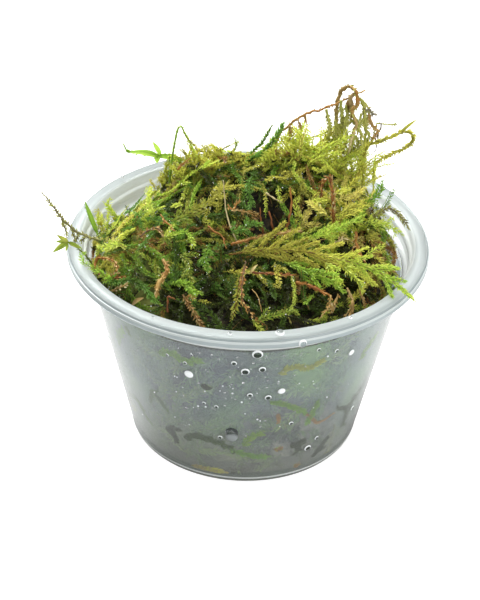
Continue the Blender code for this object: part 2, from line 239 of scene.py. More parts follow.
for polygon in cup.data.polygons:
    out, height = polygon.center.xy.length / MM, polygon.center.z / MM
    # Painted shade in the groove and under the lip, and the lip painted darker.
    if GROOVE_SHADE_BOX[0] < out < GROOVE_SHADE_BOX[1] and GROOVE_SHADE_BOX[2] < height < GROOVE_SHADE_BOX[3]:
        polygon.material_index = AT_GROOVE_SHADE
    elif out > LIP_FROM:
        polygon.material_index = AT_LIP_SHADE if height > LIP_FOOT else AT_GROOVE_SHADE
    elif height > RIM_FROM and out > BAND_REACH:
        polygon.material_index = AT_RIM
    # The band's plastic, and the painted highlight on the base's edge.
    elif height > BAND_FROM or (out > FOOT_HIGHLIGHT_FROM and FOOT_TO < height < FOOT_HIGHLIGHT_TO):
        polygon.material_index = AT_BAND_AND_HIGHLIGHT
    elif height < FOOT_TO:
        polygon.material_index = AT_FOOT
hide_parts("cup")
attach(cup, "root")

# ==== the inside of the heap ===========================================================
# The packed, shaded inside of the moss, old brown growth that is seen only through the wall
# and in the gaps between the living shoots, a few millimetres under the heap's outline.

HEAP_CENTRE = np.array((0.0, 0.0, 24.0))
HEAP_DISC = (-1.0, -2.0, 32.5)
FILL_HEIGHT = 45.5
MOUNDS = (
    # x, y, height, spread
    (-9, 12, 12, 11),
    (13, 11, 13, 11),
    (-22, -4, 5, 10),
    (23, -1, 6, 9),
    (-2, -16, 4, 13),
    (-28, 19, -7, 8),
)
# How the heap falls to its edge, and between which heights it goes over from the cup's
# outline to its own disc.
EDGE_FALL, EDGE_FALLS_FROM, EDGE_FALLS_AT_MOST = 4.0, 0.8, 1.5
CUP_SHAPED_TO, DISC_SHAPED_FROM = 34.0, 44.0
# The room that the cup leaves for moss: at its foot, how much more at the ledge and over
# that, and how its foot is rounded.
ROOM_AT_FOOT, ROOM_GAINED, ROOM_RISE = 24.3, 8.5, 38.9
LEDGE_CLEARED_AT, LEDGE_STEP = 44.5, 1.1
FOOT_ROUNDING, FOOT_ROUNDED_TO = 4.0, 7.0
FLOOR_CLEARED_AT = 1.5
CORE_INSET = 4.2
CORE_SIDE_INSET = 2.2
# Where the growth over the old moss is loose and deep: x, y, how much deeper, and how wide.
LOOSE_SPOTS = ((13, 13, 5, 6), (-11, 13, 4, 5))
CORE_RINGS, CORE_TURNS = 70, 120
FARTHEST, HALVINGS = 60.0, 22
LUMP_SIZE, FINE_LUMP_SIZE, FINE_LUMPS = 3.1, 1.2, 0.5
LUMP_DEPTH, LUMP_INSET = 1.3, 0.6


def cup_room(height):
    """How far from the cup's axis there is room for moss at a height."""
    height = np.asarray(height, float)
    share = np.clip((height - BASE_CORNER) / ROOM_RISE, 0, 1)
    rounding = np.clip(1 - height / FOOT_ROUNDED_TO, 0, 1) ** 2 * FOOT_ROUNDING
    step = np.where(height > LEDGE_CLEARED_AT, LEDGE_STEP, 0.0)
    return ROOM_AT_FOOT + ROOM_GAINED * share - rounding + step


def heap_top(x, y):
    """The height of the heap's surface over points of the plan."""
    height = FILL_HEIGHT + np.zeros(np.broadcast(x, y).shape)
    for mound_x, mound_y, rise, spread in MOUNDS:
        height = height + rise * np.exp(-((x - mound_x) ** 2 + (y - mound_y) ** 2) / (2 * spread**2))
    edge = np.hypot(x - HEAP_DISC[0], y - HEAP_DISC[1]) / HEAP_DISC[2]
    fall = np.clip((edge - EDGE_FALLS_FROM) / (1 - EDGE_FALLS_FROM), 0, EDGE_FALLS_AT_MOST)
    return height - EDGE_FALL * fall**2


def in_heap(point, under, aside):
    """Whether points lie in the heap, so far under its top and so far in from its side."""
    x, y, z = point[..., 0], point[..., 1], point[..., 2]
    for spot_x, spot_y, depth, spread in LOOSE_SPOTS:
        under = under + depth * np.exp(-((x - spot_x) ** 2 + (y - spot_y) ** 2) / (2 * spread**2))
    inside = (z > FLOOR_CLEARED_AT) & (z < heap_top(x, y) - under)
    rise = np.clip((z - CUP_SHAPED_TO) / (DISC_SHAPED_FROM - CUP_SHAPED_TO), 0, 1)
    reach = cup_room(z) * (1 - rise) + HEAP_DISC[2] * rise - aside
    middle = np.hypot(x - HEAP_DISC[0] * rise, y - HEAP_DISC[1] * rise)
    return inside & (middle < reach) & (np.hypot(x, y) < cup_room(z) - aside)


def heap_reach(direction, under, aside):
    """How far the heap goes from its centre in each direction, found by halving the span."""
    near = np.zeros(direction.shape[:-1])
    far = near + FARTHEST
    for _ in range(HALVINGS):
        middle = (near + far) / 2
        held = in_heap(HEAP_CENTRE + direction * middle[..., None], under, aside)
        near = np.where(held, middle, near)
        far = np.where(held, far, middle)
    return near


tilt = np.linspace(0, math.pi, CORE_RINGS + 1)[1:-1]
ways = around(np.sin(tilt), np.cos(tilt), CORE_TURNS)
reach = heap_reach(ways, CORE_INSET, CORE_SIDE_INSET)
spots = [Vector(spot) for spot in ways * reach[:, None]]
lumps = np.array([noise.noise(spot / LUMP_SIZE) for spot in spots])
lumps += FINE_LUMPS * np.array([noise.noise(spot / FINE_LUMP_SIZE) for spot in spots])
points = HEAP_CENTRE + ways * (reach + LUMP_DEPTH * lumps - LUMP_INSET)[:, None]
rows = CORE_RINGS - 1
points = np.vstack([points, points[::rows].mean(0), points[rows - 1 :: rows].mean(0)])
core = smooth_object("old_growth", points, round_faces(CORE_TURNS, rows))

# Near-black brown all through, partly the old growth's own colour and partly painted shade of the heap's
# depth, greener at the left, and grey with silt towards the bottom.
SILT_TO, SILT_FROM = 0.01, 0.03
GREENER_TO, GREENER_FROM = -0.02, -0.012
old, tree, skin = new_finish("old_moss_and_depth_shade", {"Roughness": 0.8, "Specular IOR Level": 0.2})
place, flecks = cloud_noise(tree, 900.0, 4.0)


def fleck_ramp(low, low_colour, high, high_colour):
    """A colour by the flecks, between one at a low place and one at a high place."""
    ramp = add_node(tree, "ValToRGB", (), {"Fac": flecks.outputs["Fac"]})
    for end, (at, colour) in enumerate(((low, low_colour), (high, high_colour))):
        ramp.color_ramp.elements[end].position = at
        ramp.color_ramp.elements[end].color = (*colour, 1)
    return ramp.outputs["Color"]


# The rot is darkened nearly to black as painted shade of the heap's depth.
rot_and_depth_shade = fleck_ramp(0.4, (0.004, 0.004, 0.002), 0.75, (0.05, 0.035, 0.012))
silt = fleck_ramp(0.35, (0.17, 0.165, 0.13), 0.65, (0.4, 0.37, 0.3))
level = add_node(tree, "SeparateXYZ", (), {0: place}).outputs
leftward = ranged(tree, level["X"], GREENER_TO, GREENER_FROM, 1.0, 0.0)
greener = mixed_colour(tree, leftward, rot_and_depth_shade, (0.13, 0.15, 0.03))
settled = ranged(tree, level["Z"], SILT_TO, SILT_FROM, 1.0, 0.0)
tree.links.new(mixed_colour(tree, settled, greener, silt), skin.inputs["Base Color"])
rough = add_node(tree, "Bump", {"Strength": 0.6, "Distance": 0.0004}, {"Height": flecks.outputs["Fac"]})
tree.links.new(rough.outputs["Normal"], skin.inputs["Normal"])
core.data.materials.append(old)
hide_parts("moss_heap")
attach(core, "root")

# ==== the living moss on the heap ======================================================
# Some hundreds of soft wet shoots, 8 to 20 mm long, that lie over each other on the heap.
# Each is a thin stem with short pointed leaves in two flat ranks and a looser third one.

LEAF_LENGTH = 1.05
LEAF_WIDTH = 0.3
LEAF_STEP = 0.38
STEM_RADIUS = 0.13

# The tone of a leaf, which is also its place across the moss material's colours.
DARK, DEEP, BLUISH, GREEN, OLIVE, GOLDEN, LIME, FRESH, RUST, STRAW, YELLOW = (
    0.03, 0.12, 0.21, 0.31, 0.41, 0.51, 0.61, 0.70, 0.79, 0.88, 0.97,
)


class Bundle:
    """Stems and leaves that are gathered into one mesh. A leaf's map runs from its foot to
    its point one way, and by its tone the other."""

    def __init__(self):
        self.points, self.faces, self.maps, self.size = [], [], [], 0

    def add(self, points, faces, maps):
        self.points.append(points)
        self.faces.append(faces + self.size)
        self.maps.append(maps)
        self.size += len(points)

    def piece(self, name, finish, slot, *stands_for):
        """Makes the gathered mesh a piece in place of its solids, in the scene."""
        points = np.concatenate(self.points) * MM
        faces = np.concatenate(self.faces)
        maps = np.concatenate(self.maps)
        mesh = bpy.data.meshes.new(name)
        mesh.vertices.add(len(points))
        mesh.vertices.foreach_set("co", points.astype(np.float32).ravel())
        mesh.loops.add(faces.size)
        mesh.loops.foreach_set("vertex_index", faces.astype(np.int32).ravel())
        mesh.polygons.add(len(faces))
        mesh.polygons.foreach_set("loop_start", (np.arange(len(faces)) * 3).astype(np.int32))
        mesh.update(calc_edges=True)
        for title in ("shoot", "OFBake"):
            layer = mesh.uv_layers.new(name=title)
            layer.data.foreach_set("uv", maps[faces.ravel()].astype(np.float32).ravel())
        mesh.materials.append(finish)
        made = bpy.data.objects.new(name, mesh)
        bpy.context.scene.collection.objects.link(made)
        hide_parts(*stands_for)
        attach(made, "root")
        return made


def unit(rows):
    """Each row at length 1."""
    return rows / np.maximum(np.linalg.norm(rows, axis=-1, keepdims=True), 1e-9)


def smooth_path(points, spacing):
    """Evenly spaced points on a smooth curve through given ones."""
    laid = np.array(points, float)
    laid = np.vstack([2 * laid[0] - laid[1], laid, 2 * laid[-1] - laid[-2]])
    share = np.linspace(0, 1, 10, endpoint=False)[:, None]
    fine = []
    for a, b, c, d in zip(laid, laid[1:], laid[2:], laid[3:]):
        bend = 2 * a - 5 * b + 4 * c - d
        twist = -a + 3 * b - 3 * c + d
        fine.append(0.5 * (2 * b + (c - a) * share + bend * share**2 + twist * share**3))
    return evened(np.vstack([*fine, laid[-2:-1]]), spacing)


def evened(line, spacing):
    """The same line with its points a fixed step apart."""
    run = np.concatenate([[0], np.cumsum(np.linalg.norm(np.diff(line, axis=0), axis=1))])
    count = max(int(round(run[-1] / spacing)), 2)
    at = np.linspace(0, run[-1], count + 1)
    return np.stack([np.interp(at, run, line[:, k]) for k in range(3)], 1)


# Stands in for a path's flat side where the path runs nearly along it.
SPARE_FACE = (0.3, 0.9, 0.2)
SPARE_FROM = 0.2


def along(path, face):
    """Unit vectors at each point of a path: along it, out of its flat side, and across."""
    ahead = unit(np.gradient(path, axis=0))
    face = np.broadcast_to(face, path.shape)
    out = face - (face * ahead).sum(1, keepdims=True) * ahead
    weak = np.linalg.norm(out, axis=1) < SPARE_FROM
    out[weak] = np.cross(ahead[weak], SPARE_FACE)
    out = unit(out)
    return ahead, out, np.cross(ahead, out)


def graded(tone, count):
    """A tone for each of count points, from one tone or from several between foot and tip."""
    tones = np.atleast_1d(tone)
    return np.interp(np.linspace(0, 1, count), np.linspace(0, 1, len(tones)), tones)


# A round stem has no flat side, and this stands in for one.
STEM_FACE = np.array((0.2, -0.5, 0.85))


def add_stem(bundle, path, radius, tone, sides=3, end_share=0.35, knobs=1.0):
    """A thin tube that narrows to its tip, with its ends closed."""
    ahead, out, across = along(path, STEM_FACE)
    count = len(path)
    width = radius * (1 - (1 - end_share) * np.linspace(0, 1, count) ** 2) * knobs
    turn = np.arange(sides) / sides * 2 * math.pi
    ring = out[:, None] * np.cos(turn)[None, :, None] + across[:, None] * np.sin(turn)[None, :, None]
    tube = (path[:, None] + ring * width[:, None, None]).reshape(-1, 3)
    points = np.vstack([tube, path[:1] - ahead[:1] * radius * 0.5, path[-1:] + ahead[-1:] * radius])
    step = np.arange(count - 1)[:, None] * sides
    k = np.arange(sides)[None]
    a, b = (step + k).ravel(), (step + (k + 1) % sides).ravel()
    faces = np.vstack([np.stack([a, b, b + sides], 1), np.stack([a, b + sides, a + sides], 1)])
    k = np.arange(sides)
    last = (count - 1) * sides
    foot = np.stack([(k + 1) % sides, k, np.full(sides, count * sides)], 1)
    tip = np.stack([last + k, last + (k + 1) % sides, np.full(sides, count * sides + 1)], 1)
    share = np.repeat(np.linspace(0.05, 0.5, count), sides)
    level = np.repeat(graded(tone, count), sides) + 0.008 * np.tile(np.cos(turn), count)
    maps = np.stack([np.append(share, [0.0, 0.55]), np.append(level, level[[0, -1]])], 1)
    bundle.add(points, np.vstack([faces, foot, tip]), maps)


# The ranks of leaves round a stem: the angle of each from the stem's across side, how loosely
# it is kept, and how far its leaves open against those of the two flat ranks.
RANKS = ((math.pi / 2, 0.3, 1.0), (-math.pi / 2, 0.3, 1.0), (0.0, 0.75, 0.7), (math.pi, 0.75, 0.7))
# How uneven leaves are: in how far they open, in how they turn, in their length and width.
OPENING_UNEVEN, OPENINGS, TURN_UNEVEN, LENGTHS, WIDTHS = 0.16, (0.2, 1.5), 0.22, (0.75, 1.2), (0.8, 1.2)
# A leaf starts so far off its stem, is widest and sags at its belly, and curls at its tip.
LEAF_OFF, BELLY_AT, BELLY_SAG, CURL, CURL_UNEVEN = 0.05, 0.4, 0.35, 0.06, 0.08


def add_leaves(bundle, path, face, rng, tone, length=LEAF_LENGTH, width=LEAF_WIDTH, ranks=3, flat=0.65,
               lean=0.85, spread=0.02, taper=0.16, foot=0.1, thin=1.0):
    """Leaves along a path, in a left and a right rank that lie flat and further loose ones.
    They are smaller at the stem's foot and tip, and folded together at its tip."""
    ahead, out, across = along(path, face)
    count = len(path)
    share = np.linspace(0, 1, count)
    grown = np.clip(share / foot, 0.35, 1) * np.clip((1 - share) / taper, 0.3, 1) ** 0.6
    folded = 0.45 + 0.55 * np.clip((1 - share) / 0.12, 0, 1)
    for rank, (side, loose, opened) in enumerate(RANKS[:ranks]):
        keep = rng.random(count) < thin
        angle = side + rng.normal(0, loose, count)
        opening = np.clip(rng.normal(lean * opened, OPENING_UNEVEN, count), *OPENINGS) * folded
        away = out * np.cos(angle)[:, None] + across * np.sin(angle)[:, None]
        axis = ahead * np.cos(opening)[:, None] + away * np.sin(opening)[:, None]
        inward = ahead * np.sin(opening)[:, None] - away * np.cos(opening)[:, None]
        blade = inward * (1 - flat) + out * flat if rank < 2 else inward
        blade = blade + rng.normal(0, TURN_UNEVEN, (count, 3))
        blade = unit(blade - (blade * axis).sum(1, keepdims=True) * axis)
        wide = np.cross(axis, blade)
        long = (length * grown * rng.uniform(*LENGTHS, count))[:, None]
        half = (width * 0.5 * grown * rng.uniform(*WIDTHS, count))[:, None]
        shift = rng.uniform(-0.5, 0.5, count)[:, None] * LEAF_STEP
        start = path + ahead * shift + away * LEAF_OFF
        belly = start + axis * long * BELLY_AT - blade * half * BELLY_SAG
        curl = blade * long * rng.normal(CURL, CURL_UNEVEN, count)[:, None]
        tip = start + axis * long + curl
        quad = np.stack([start, belly + wide * half, tip, belly - wide * half], 1)[keep]
        level = np.clip(graded(tone, count) + rng.normal(0, spread, count), 0.015, 0.985)[keep]
        along_map = np.tile([0.0, 0.45, 1.0, 0.45], len(quad))
        over_map = (level[:, None] + np.array([0, 0.01, 0, -0.01])[None]).ravel()
        index = np.arange(len(quad))[:, None] * 4
        two = np.concatenate([index + np.array([[0, 1, 2]]), index + np.array([[0, 2, 3]])])
        bundle.add(quad.reshape(-1, 3), two, np.stack([along_map, over_map], 1))


def add_ribbon(bundle, path, widths, face, tone, fold=0.25):
    """A broad flat leaf or scrap: a strip with a folded middle, as wide as widths say."""
    ahead, out, across = along(path, face)
    half = np.asarray(widths, float)[:, None] / 2
    raised = path + out * half * fold
    rows = np.stack([raised + across * half, path, raised - across * half], 1)
    count = len(path)
    start = np.arange(count - 1) * 3
    corners = ((0, 1, 4), (0, 4, 3), (1, 2, 5), (1, 5, 4))
    faces = np.concatenate([np.stack([start + a, start + b, start + c], 1) for a, b, c in corners])
    level = np.broadcast_to(tone, count)[:, None] + np.array([0.012, 0.0, -0.012])[None]
    share = np.repeat(np.linspace(0.2, 0.9, count), 3)
    bundle.add(rows.reshape(-1, 3), faces, np.stack([share, np.clip(level, 0.01, 0.99).ravel()], 1))


def add_blade(bundle, foot, tip, width, face, tone, bow=0.15):
    """One broad pointed leaf that bows a little out of its face."""
    foot, reach = np.array(foot, float), np.subtract(tip, foot)
    share = np.linspace(0, 1, 7)
    bowed = np.linalg.norm(reach) * bow * np.sin(share * math.pi)
    path = foot + reach * share[:, None] + face * bowed[:, None]
    add_ribbon(bundle, path, width * (0.12 + 0.88 * np.sin(math.pi * share**0.75)), face, tone)


# Side shoots: how unevenly they are spaced, how far they leave the stem's flat side, the share
# of their length that they have near the stem's tip, and their stem and leaves against its own.
TWIG_UNEVEN, TWIG_STRAY, TWIG_SHORTENING = 0.7, 0.26, 0.55
TWIG_STEM, TWIG_LEAF_LENGTH, TWIG_LEAF_WIDTH = 0.7, 0.85, 0.9


def add_shoot(bundle, points, face, rng, tone, size=1.0, stem_tone=None, twigs=0, twig_length=5.0,
              spacing=LEAF_STEP, smooth=True, stem=STEM_RADIUS, twig_span=(0.12, 0.88), opening=(0.65, 1.0),
              **leafing):
    """A stem with its leaves and, on both sides of it, its short side shoots."""
    path = smooth_path(points, spacing) if smooth else evened(np.array(points, float), spacing)
    stem_tone = tone if stem_tone is None else stem_tone
    add_stem(bundle, path[:: max(1, int(1.0 / spacing))], stem * size, stem_tone)
    add_leaves(bundle, path, face, rng, tone, LEAF_LENGTH * size, LEAF_WIDTH * size, **leafing)
    if not twigs:
        return
    ahead, out, across = along(path, face)
    places = np.linspace(*twig_span, twigs) + rng.uniform(-0.5, 0.5, twigs) * TWIG_UNEVEN / twigs
    for number, share in enumerate(np.clip(places, 0.03, 0.95)):
        at = int(share * (len(path) - 1))
        side = 1 if number % 2 else -1
        open_angle = rng.uniform(*opening)
        way = ahead[at] * math.cos(open_angle) + across[at] * side * math.sin(open_angle)
        way = unit(way + out[at] * rng.normal(0, TWIG_STRAY))
        reach = twig_length * rng.uniform(0.55, 1.15) * (1 - TWIG_SHORTENING * share)
        steps = np.linspace(0, 1, 6)[:, None]
        bow = ahead[at] * rng.uniform(0.0, 0.25) - out[at] * rng.uniform(0.0, 0.2)
        twig = evened(path[at] + way * reach * steps + bow * reach * steps**2, spacing)
        twig_tone = graded(tone, len(path))[at] + rng.normal(0, 0.01)
        add_stem(bundle, twig[::2] if len(twig) > 4 else twig, STEM_RADIUS * size * TWIG_STEM,
                 graded(stem_tone, len(path))[at])
        add_leaves(bundle, twig, out[at], rng, twig_tone, LEAF_LENGTH * size * TWIG_LEAF_LENGTH,
                   LEAF_WIDTH * size * TWIG_LEAF_WIDTH, **leafing)


def top_normal(x, y):
    """The direction that points straight out of the heap's surface."""
    step = 0.5
    rise_x = (heap_top(x + step, y) - heap_top(x - step, y)) / (2 * step)
    rise_y = (heap_top(x, y + step) - heap_top(x, y - step)) / (2 * step)
    return unit(np.stack([-rise_x, -rise_y, np.ones_like(rise_x)], -1))


# A path over the heap: its step, how it bends from step to step and all along, how far it
# rises and falls, and how far it keeps in from the heap's disc.
PATH_STEP, PATH_BEND, PATH_TURN, PATH_WAVE, DISC_GAP = 0.8, 0.10, 0.03, 0.45, 0.3
# Over the ledge a path may go past the cup's room, under the ledge it keeps short of that, and
# far out it keeps over the ledge.
OVER_LEDGE, PAST_ROOM, SHORT_OF_ROOM = 43.5, 0.6, -0.4
BY_LEDGE_FROM, BY_LEDGE_HEIGHT = 29.5, 43.0


def wander(rng, x, y, heading, length, low, high):
    """A path over the heap. It starts low millimetres over the surface and ends high over it."""
    steps = max(int(length / PATH_STEP), 4)
    bend = np.cumsum(rng.normal(0, PATH_BEND, steps)) + rng.normal(0, PATH_TURN) * np.arange(steps)
    most = HEAP_DISC[2] - DISC_GAP
    plan = []
    for step in range(steps + 1):
        plan.append((x, y))
        turn = heading + bend[min(step, steps - 1)]
        slope = float(heap_top(x + math.cos(turn), y + math.sin(turn)) - heap_top(x, y))
        run = PATH_STEP / math.sqrt(1 + slope * slope)
        x, y = x + math.cos(turn) * run, y + math.sin(turn) * run
        push = min(1.0, most / math.hypot(x - HEAP_DISC[0], y - HEAP_DISC[1]))
        x, y = HEAP_DISC[0] + (x - HEAP_DISC[0]) * push, HEAP_DISC[1] + (y - HEAP_DISC[1]) * push
    plan = np.array(plan)
    share = np.linspace(0, 1, steps + 1)
    wave = np.interp(share, np.linspace(0, 1, 5), rng.normal(0, PATH_WAVE, 5))
    lift = low + (high - low) * share**1.5 + wave
    line = np.column_stack([plan, heap_top(plan[:, 0], plan[:, 1]) + lift])
    room = cup_room(line[:, 2]) + np.where(line[:, 2] > OVER_LEDGE, PAST_ROOM, SHORT_OF_ROOM)
    out = np.hypot(line[:, 0], line[:, 1])
    line[:, :2] *= np.minimum(1, room / np.maximum(out, 1e-6))[:, None]
    by_ledge = out > BY_LEDGE_FROM
    line[by_ledge, 2] = np.maximum(line[by_ledge, 2], BY_LEDGE_HEIGHT)
    return line


# Patches of the heap's colour: x, y, radius, and the tones that are picked from. The tones are partly the
# moss's own and partly painted light and shade. They are dark at the front and in the hollow in the middle,
# where the heap lies in shade, and pale at the back, where light comes through it.
PATCHES = (
    (-25, -5, 7, (LIME, 0.57, LIME, YELLOW, LIME, BLUISH)),
    (-18, 1, 7, (LIME, FRESH, LIME, YELLOW, LIME, FRESH, GREEN)),
    (-13, 12, 7, (GOLDEN, LIME, YELLOW, LIME, OLIVE, GOLDEN, RUST)),
    (-7, 8, 5, (OLIVE, GREEN, 0.36, DEEP, OLIVE, GOLDEN)),
    (0, 7, 5, (OLIVE, DEEP, RUST, GOLDEN, BLUISH, GREEN)),
    (1, -1, 8, (DARK, DEEP, DARK, BLUISH)),
    (11, 7, 7, (LIME, GOLDEN, LIME, OLIVE)),
    (21, 10, 6, (YELLOW, LIME, YELLOW)),
    (10, 0, 5, (OLIVE, DEEP, RUST, DARK, GOLDEN)),
    (17, -4, 5, (GOLDEN, STRAW, YELLOW, STRAW, YELLOW, RUST)),
    (28, 2, 6, (LIME, GREEN, LIME, YELLOW)),
    (29, -6, 5, (OLIVE, GOLDEN, RUST)),
    (21, -8, 5, (LIME, GOLDEN, RUST, LIME)),
    (11, -7, 5, (OLIVE, LIME, GOLDEN)),
    (2, -8, 5, (BLUISH, GREEN, DEEP, GREEN)),
    (-8, -9, 5, (GREEN, RUST, OLIVE, DEEP, BLUISH)),
    (-18, -11, 6, (GREEN, LIME, OLIVE, RUST, BLUISH)),
    (-28, -13, 5, (RUST, OLIVE, RUST, GREEN, DEEP)),
    (-20, -18, 5, (GREEN, DEEP, 0.36, DEEP)),
    (-12, -16, 6, (GREEN, OLIVE, DEEP, GREEN)),
    (-6, -20, 5, (DEEP, GREEN, DEEP, GREEN)),
    (-1, -23, 6, (0.36, DEEP, DARK, DEEP, DARK)),
    (8, -25, 7, (DARK, DEEP, DARK, DEEP, DEEP)),
    (20, -21, 6, (RUST, DARK, DEEP, DARK, DEEP)),
    (27, -15, 5, (OLIVE, RUST, GOLDEN)),
    (-15, -27, 6, (DARK, 0.36, DEEP, DEEP)),
    (-5, -30, 7, (DEEP, DARK, DARK, GREEN)),
    (-2, 24, 12, (OLIVE, GREEN, LIME, GOLDEN, OLIVE)),
)
# Dark holes between the shoots, where none lies on top: x, y and radius.
CLEARINGS = (
    (0, -1.5, 4.6), (16, -16.5, 2.2), (-18, -22.5, 2.6), (-10, -12.5, 1.4), (5, -2, 3.2), (10, -26, 5),
    (0, -29, 3.5), (-9, -29, 2.5), (3, -22, 2),
)

# How far a patch's colours spread past it, and how strong the colours of far patches are.
PATCH_SPREAD, FAR_PATCHES = 0.6, 0.02
# The darker tones of shoots that lie deep, which paint the shade down in the heap, with rust as a fifth one
# behind this y and dark before it.
DEEP_SHADE_TONES = (DARK, DEEP, DARK, DEEP)
DEEP_RUST_FROM = -14


def tone_at(rng, x, y, depth):
    """A tone for a shoot at this place: its patch's, or for some a darker, deep one that paints shade."""
    far = [math.hypot(x - patch_x, y - patch_y) / (r * PATCH_SPREAD) for patch_x, patch_y, r, _ in PATCHES]
    pull = np.exp(-np.square(far) / 2) + FAR_PATCHES
    tones = PATCHES[rng.choice(len(PATCHES), p=pull / pull.sum())][3]
    tone = tones[rng.integers(len(tones))]
    if rng.random() < depth:
        tone = (*DEEP_SHADE_TONES, RUST if y > DEEP_RUST_FROM else DARK)[rng.integers(5)]
    return float(np.clip(tone + rng.normal(0, 0.015), 0.02, 0.98))


# The two layers of shoots. Each has its number of shoots, the span of their lengths, of their feet over the
# heap's surface, of how much higher they end, and of their sizes, and the step between their leaves, how many
# are of a deep tone, which paints shade, and its share of the clearings.
LOWER = (330, (9, 20), (-4.2, -1.6), (0.5, 2.2), (0.75, 1.1), 0.37, 0.55, 0.55)
UPPER = (300, (8, 18), (-2.6, -0.6), (1.0, 3.2), (0.66, 0.96), 0.225, 0.05, 1.0)
# In front of one y the heap lies in shade, which deepens over a distance and gives each layer
# so many more deep tones. At the left light reaches the lower layer, which has fewer of them.
SHADE_FROM, SHADE_OVER, SHADE_LOWER, SHADE_UPPER = -13, 8, 0.25, 0.7
LIT_LEFT_OF, LIT_OVER, LIT_BEHIND, LIT_RISES_OVER, LIT_LOWER = -13, 6, -12, 4, 0.45
RUSTY_STEMS, RUSTY_IN_SHADE = 0.33, 0.08

rng = np.random.default_rng(41)
lower_moss, upper_moss = Bundle(), Bundle()
for number in range(LOWER[0] + UPPER[0]):
    lower = number < LOWER[0]
    _, lengths, feet, rises, sizes, leaf_step, depth, cleared = LOWER if lower else UPPER
    out = math.sqrt(rng.random()) * HEAP_DISC[2]
    spot = rng.uniform(0, 2 * math.pi)
    x, y = HEAP_DISC[0] + out * math.cos(spot), HEAP_DISC[1] + out * math.sin(spot)
    heading = rng.uniform(0, 2 * math.pi)
    length = rng.uniform(*lengths)
    low = rng.uniform(*feet)
    line = wander(rng, x, y, heading, length, low, low + rng.uniform(*rises))
    x, y, _ = line[len(line) // 2]
    face = unit(top_normal(x, y) + rng.normal(0, 0.3, 3))
    shaded = float(np.clip((SHADE_FROM - y) / SHADE_OVER, 0, 1))
    lit = float(np.clip((LIT_LEFT_OF - x) / LIT_OVER, 0, 1))
    lit *= float(np.clip((y - LIT_BEHIND) / LIT_RISES_OVER, 0, 1))
    depth += SHADE_LOWER * shaded - LIT_LOWER * lit if lower else SHADE_UPPER * shaded
    tone = tone_at(rng, x, y, depth)
    if any(math.hypot(x - clear_x, y - clear_y) < r * cleared for clear_x, clear_y, r in CLEARINGS):
        continue
    size = rng.uniform(*sizes)
    rusty = rng.random() < RUSTY_STEMS - (RUSTY_STEMS - RUSTY_IN_SHADE) * shaded
    layer = lower_moss if lower else upper_moss
    add_shoot(layer, line, face, rng, tone, size, stem_tone=RUST if rusty else tone,
              twigs=int(rng.integers(0, 4)), twig_length=4.5, smooth=False, spacing=leaf_step)


def strand_map(tree):
    """The map of a strand: from its foot to its tip, and by its tone."""
    uv = add_node(tree, "UVMap", uv_map="shoot").outputs["UV"]
    return uv, add_node(tree, "SeparateXYZ", (), {0: uv}).outputs


# No strand is paler than this, since a paler one would look lit from inside.
PALEST = (0.93, 0.93, 0.93)


def shade_group():
    """The shading of a strand's colour: fine mottling, and a darker foot and a paler point, which are partly
    the strand's own colour and partly painted shade and painted light.
    """
    group = bpy.data.node_groups.new("strand_shade", "ShaderNodeTree")
    group.interface.new_socket("Colour", in_out="INPUT", socket_type="NodeSocketColor")
    # The foot's darkening is partly painted shade, and the point's lightening is partly a painted highlight.
    for title, value in (("Foot", 0.5), ("Point", 1.4)):
        group.interface.new_socket(title, in_out="INPUT", socket_type="NodeSocketFloat").default_value = value
    group.interface.new_socket("Shaded", in_out="OUTPUT", socket_type="NodeSocketColor")
    come, leave = group.nodes.new("NodeGroupInput").outputs, group.nodes.new("NodeGroupOutput")
    uv, parts = strand_map(group)
    stretched = add_node(group, "VectorMath", {1: (3.0, 160.0, 1.0)}, {0: uv}, operation="MULTIPLY")
    stretched = stretched.outputs["Vector"]
    mottle = add_node(group, "TexNoise", {"Scale": 1.0, "Detail": 2.0}, {"Vector": stretched})
    patchy = ranged(group, mottle.outputs["Fac"], 0.3, 0.7, 0.7, 1.25)
    ends = {"Value": parts["X"], "To Min": come["Foot"], "To Max": come["Point"]}
    grade = add_node(group, "MapRange", (), ends).outputs["Result"]
    both = combined(group, "MULTIPLY", grade, patchy)
    shaded = add_node(group, "VectorMath", (), {0: come["Colour"], "Scale": both}, operation="SCALE")
    shaded = shaded.outputs["Vector"]
    held = add_node(group, "VectorMath", {1: PALEST}, {0: shaded}, operation="MINIMUM")
    group.links.new(held.outputs["Vector"], leave.inputs["Shaded"])
    return group


strand_shade = shade_group()


def toned(tree, tones, foot, point):
    """The colour of a strand by its tone, shaded along its length."""
    ramp = add_node(tree, "ValToRGB", (), {"Fac": strand_map(tree)[1]["Y"]})
    for place, colour in tones[1:-1]:
        ramp.color_ramp.elements.new(place).color = (*colour, 1)
    for end in (0, -1):
        ramp.color_ramp.elements[end].position = tones[end][0]
        ramp.color_ramp.elements[end].color = (*tones[end][1], 1)
    shade = tree.nodes.new("ShaderNodeGroup")
    shade.node_tree = strand_shade
    shade.inputs["Foot"].default_value = foot
    shade.inputs["Point"].default_value = point
    tree.links.new(ramp.outputs["Color"], shade.inputs["Colour"])
    return shade.outputs["Shaded"]


MOSS_TONES = (
    (DARK, (0.045, 0.05, 0.012)),
    (DEEP, (0.09, 0.15, 0.02)),
    (BLUISH, (0.22, 0.43, 0.085)),
    (GREEN, (0.22, 0.41, 0.045)),
    (OLIVE, (0.43, 0.43, 0.07)),
    (GOLDEN, (0.76, 0.72, 0.13)),
    (LIME, (0.78, 0.9, 0.15)),
    (FRESH, (0.36, 0.62, 0.07)),
    (RUST, (0.42, 0.2, 0.06)),
    (STRAW, (0.62, 0.5, 0.2)),
    (YELLOW, (0.88, 0.82, 0.2)),
)


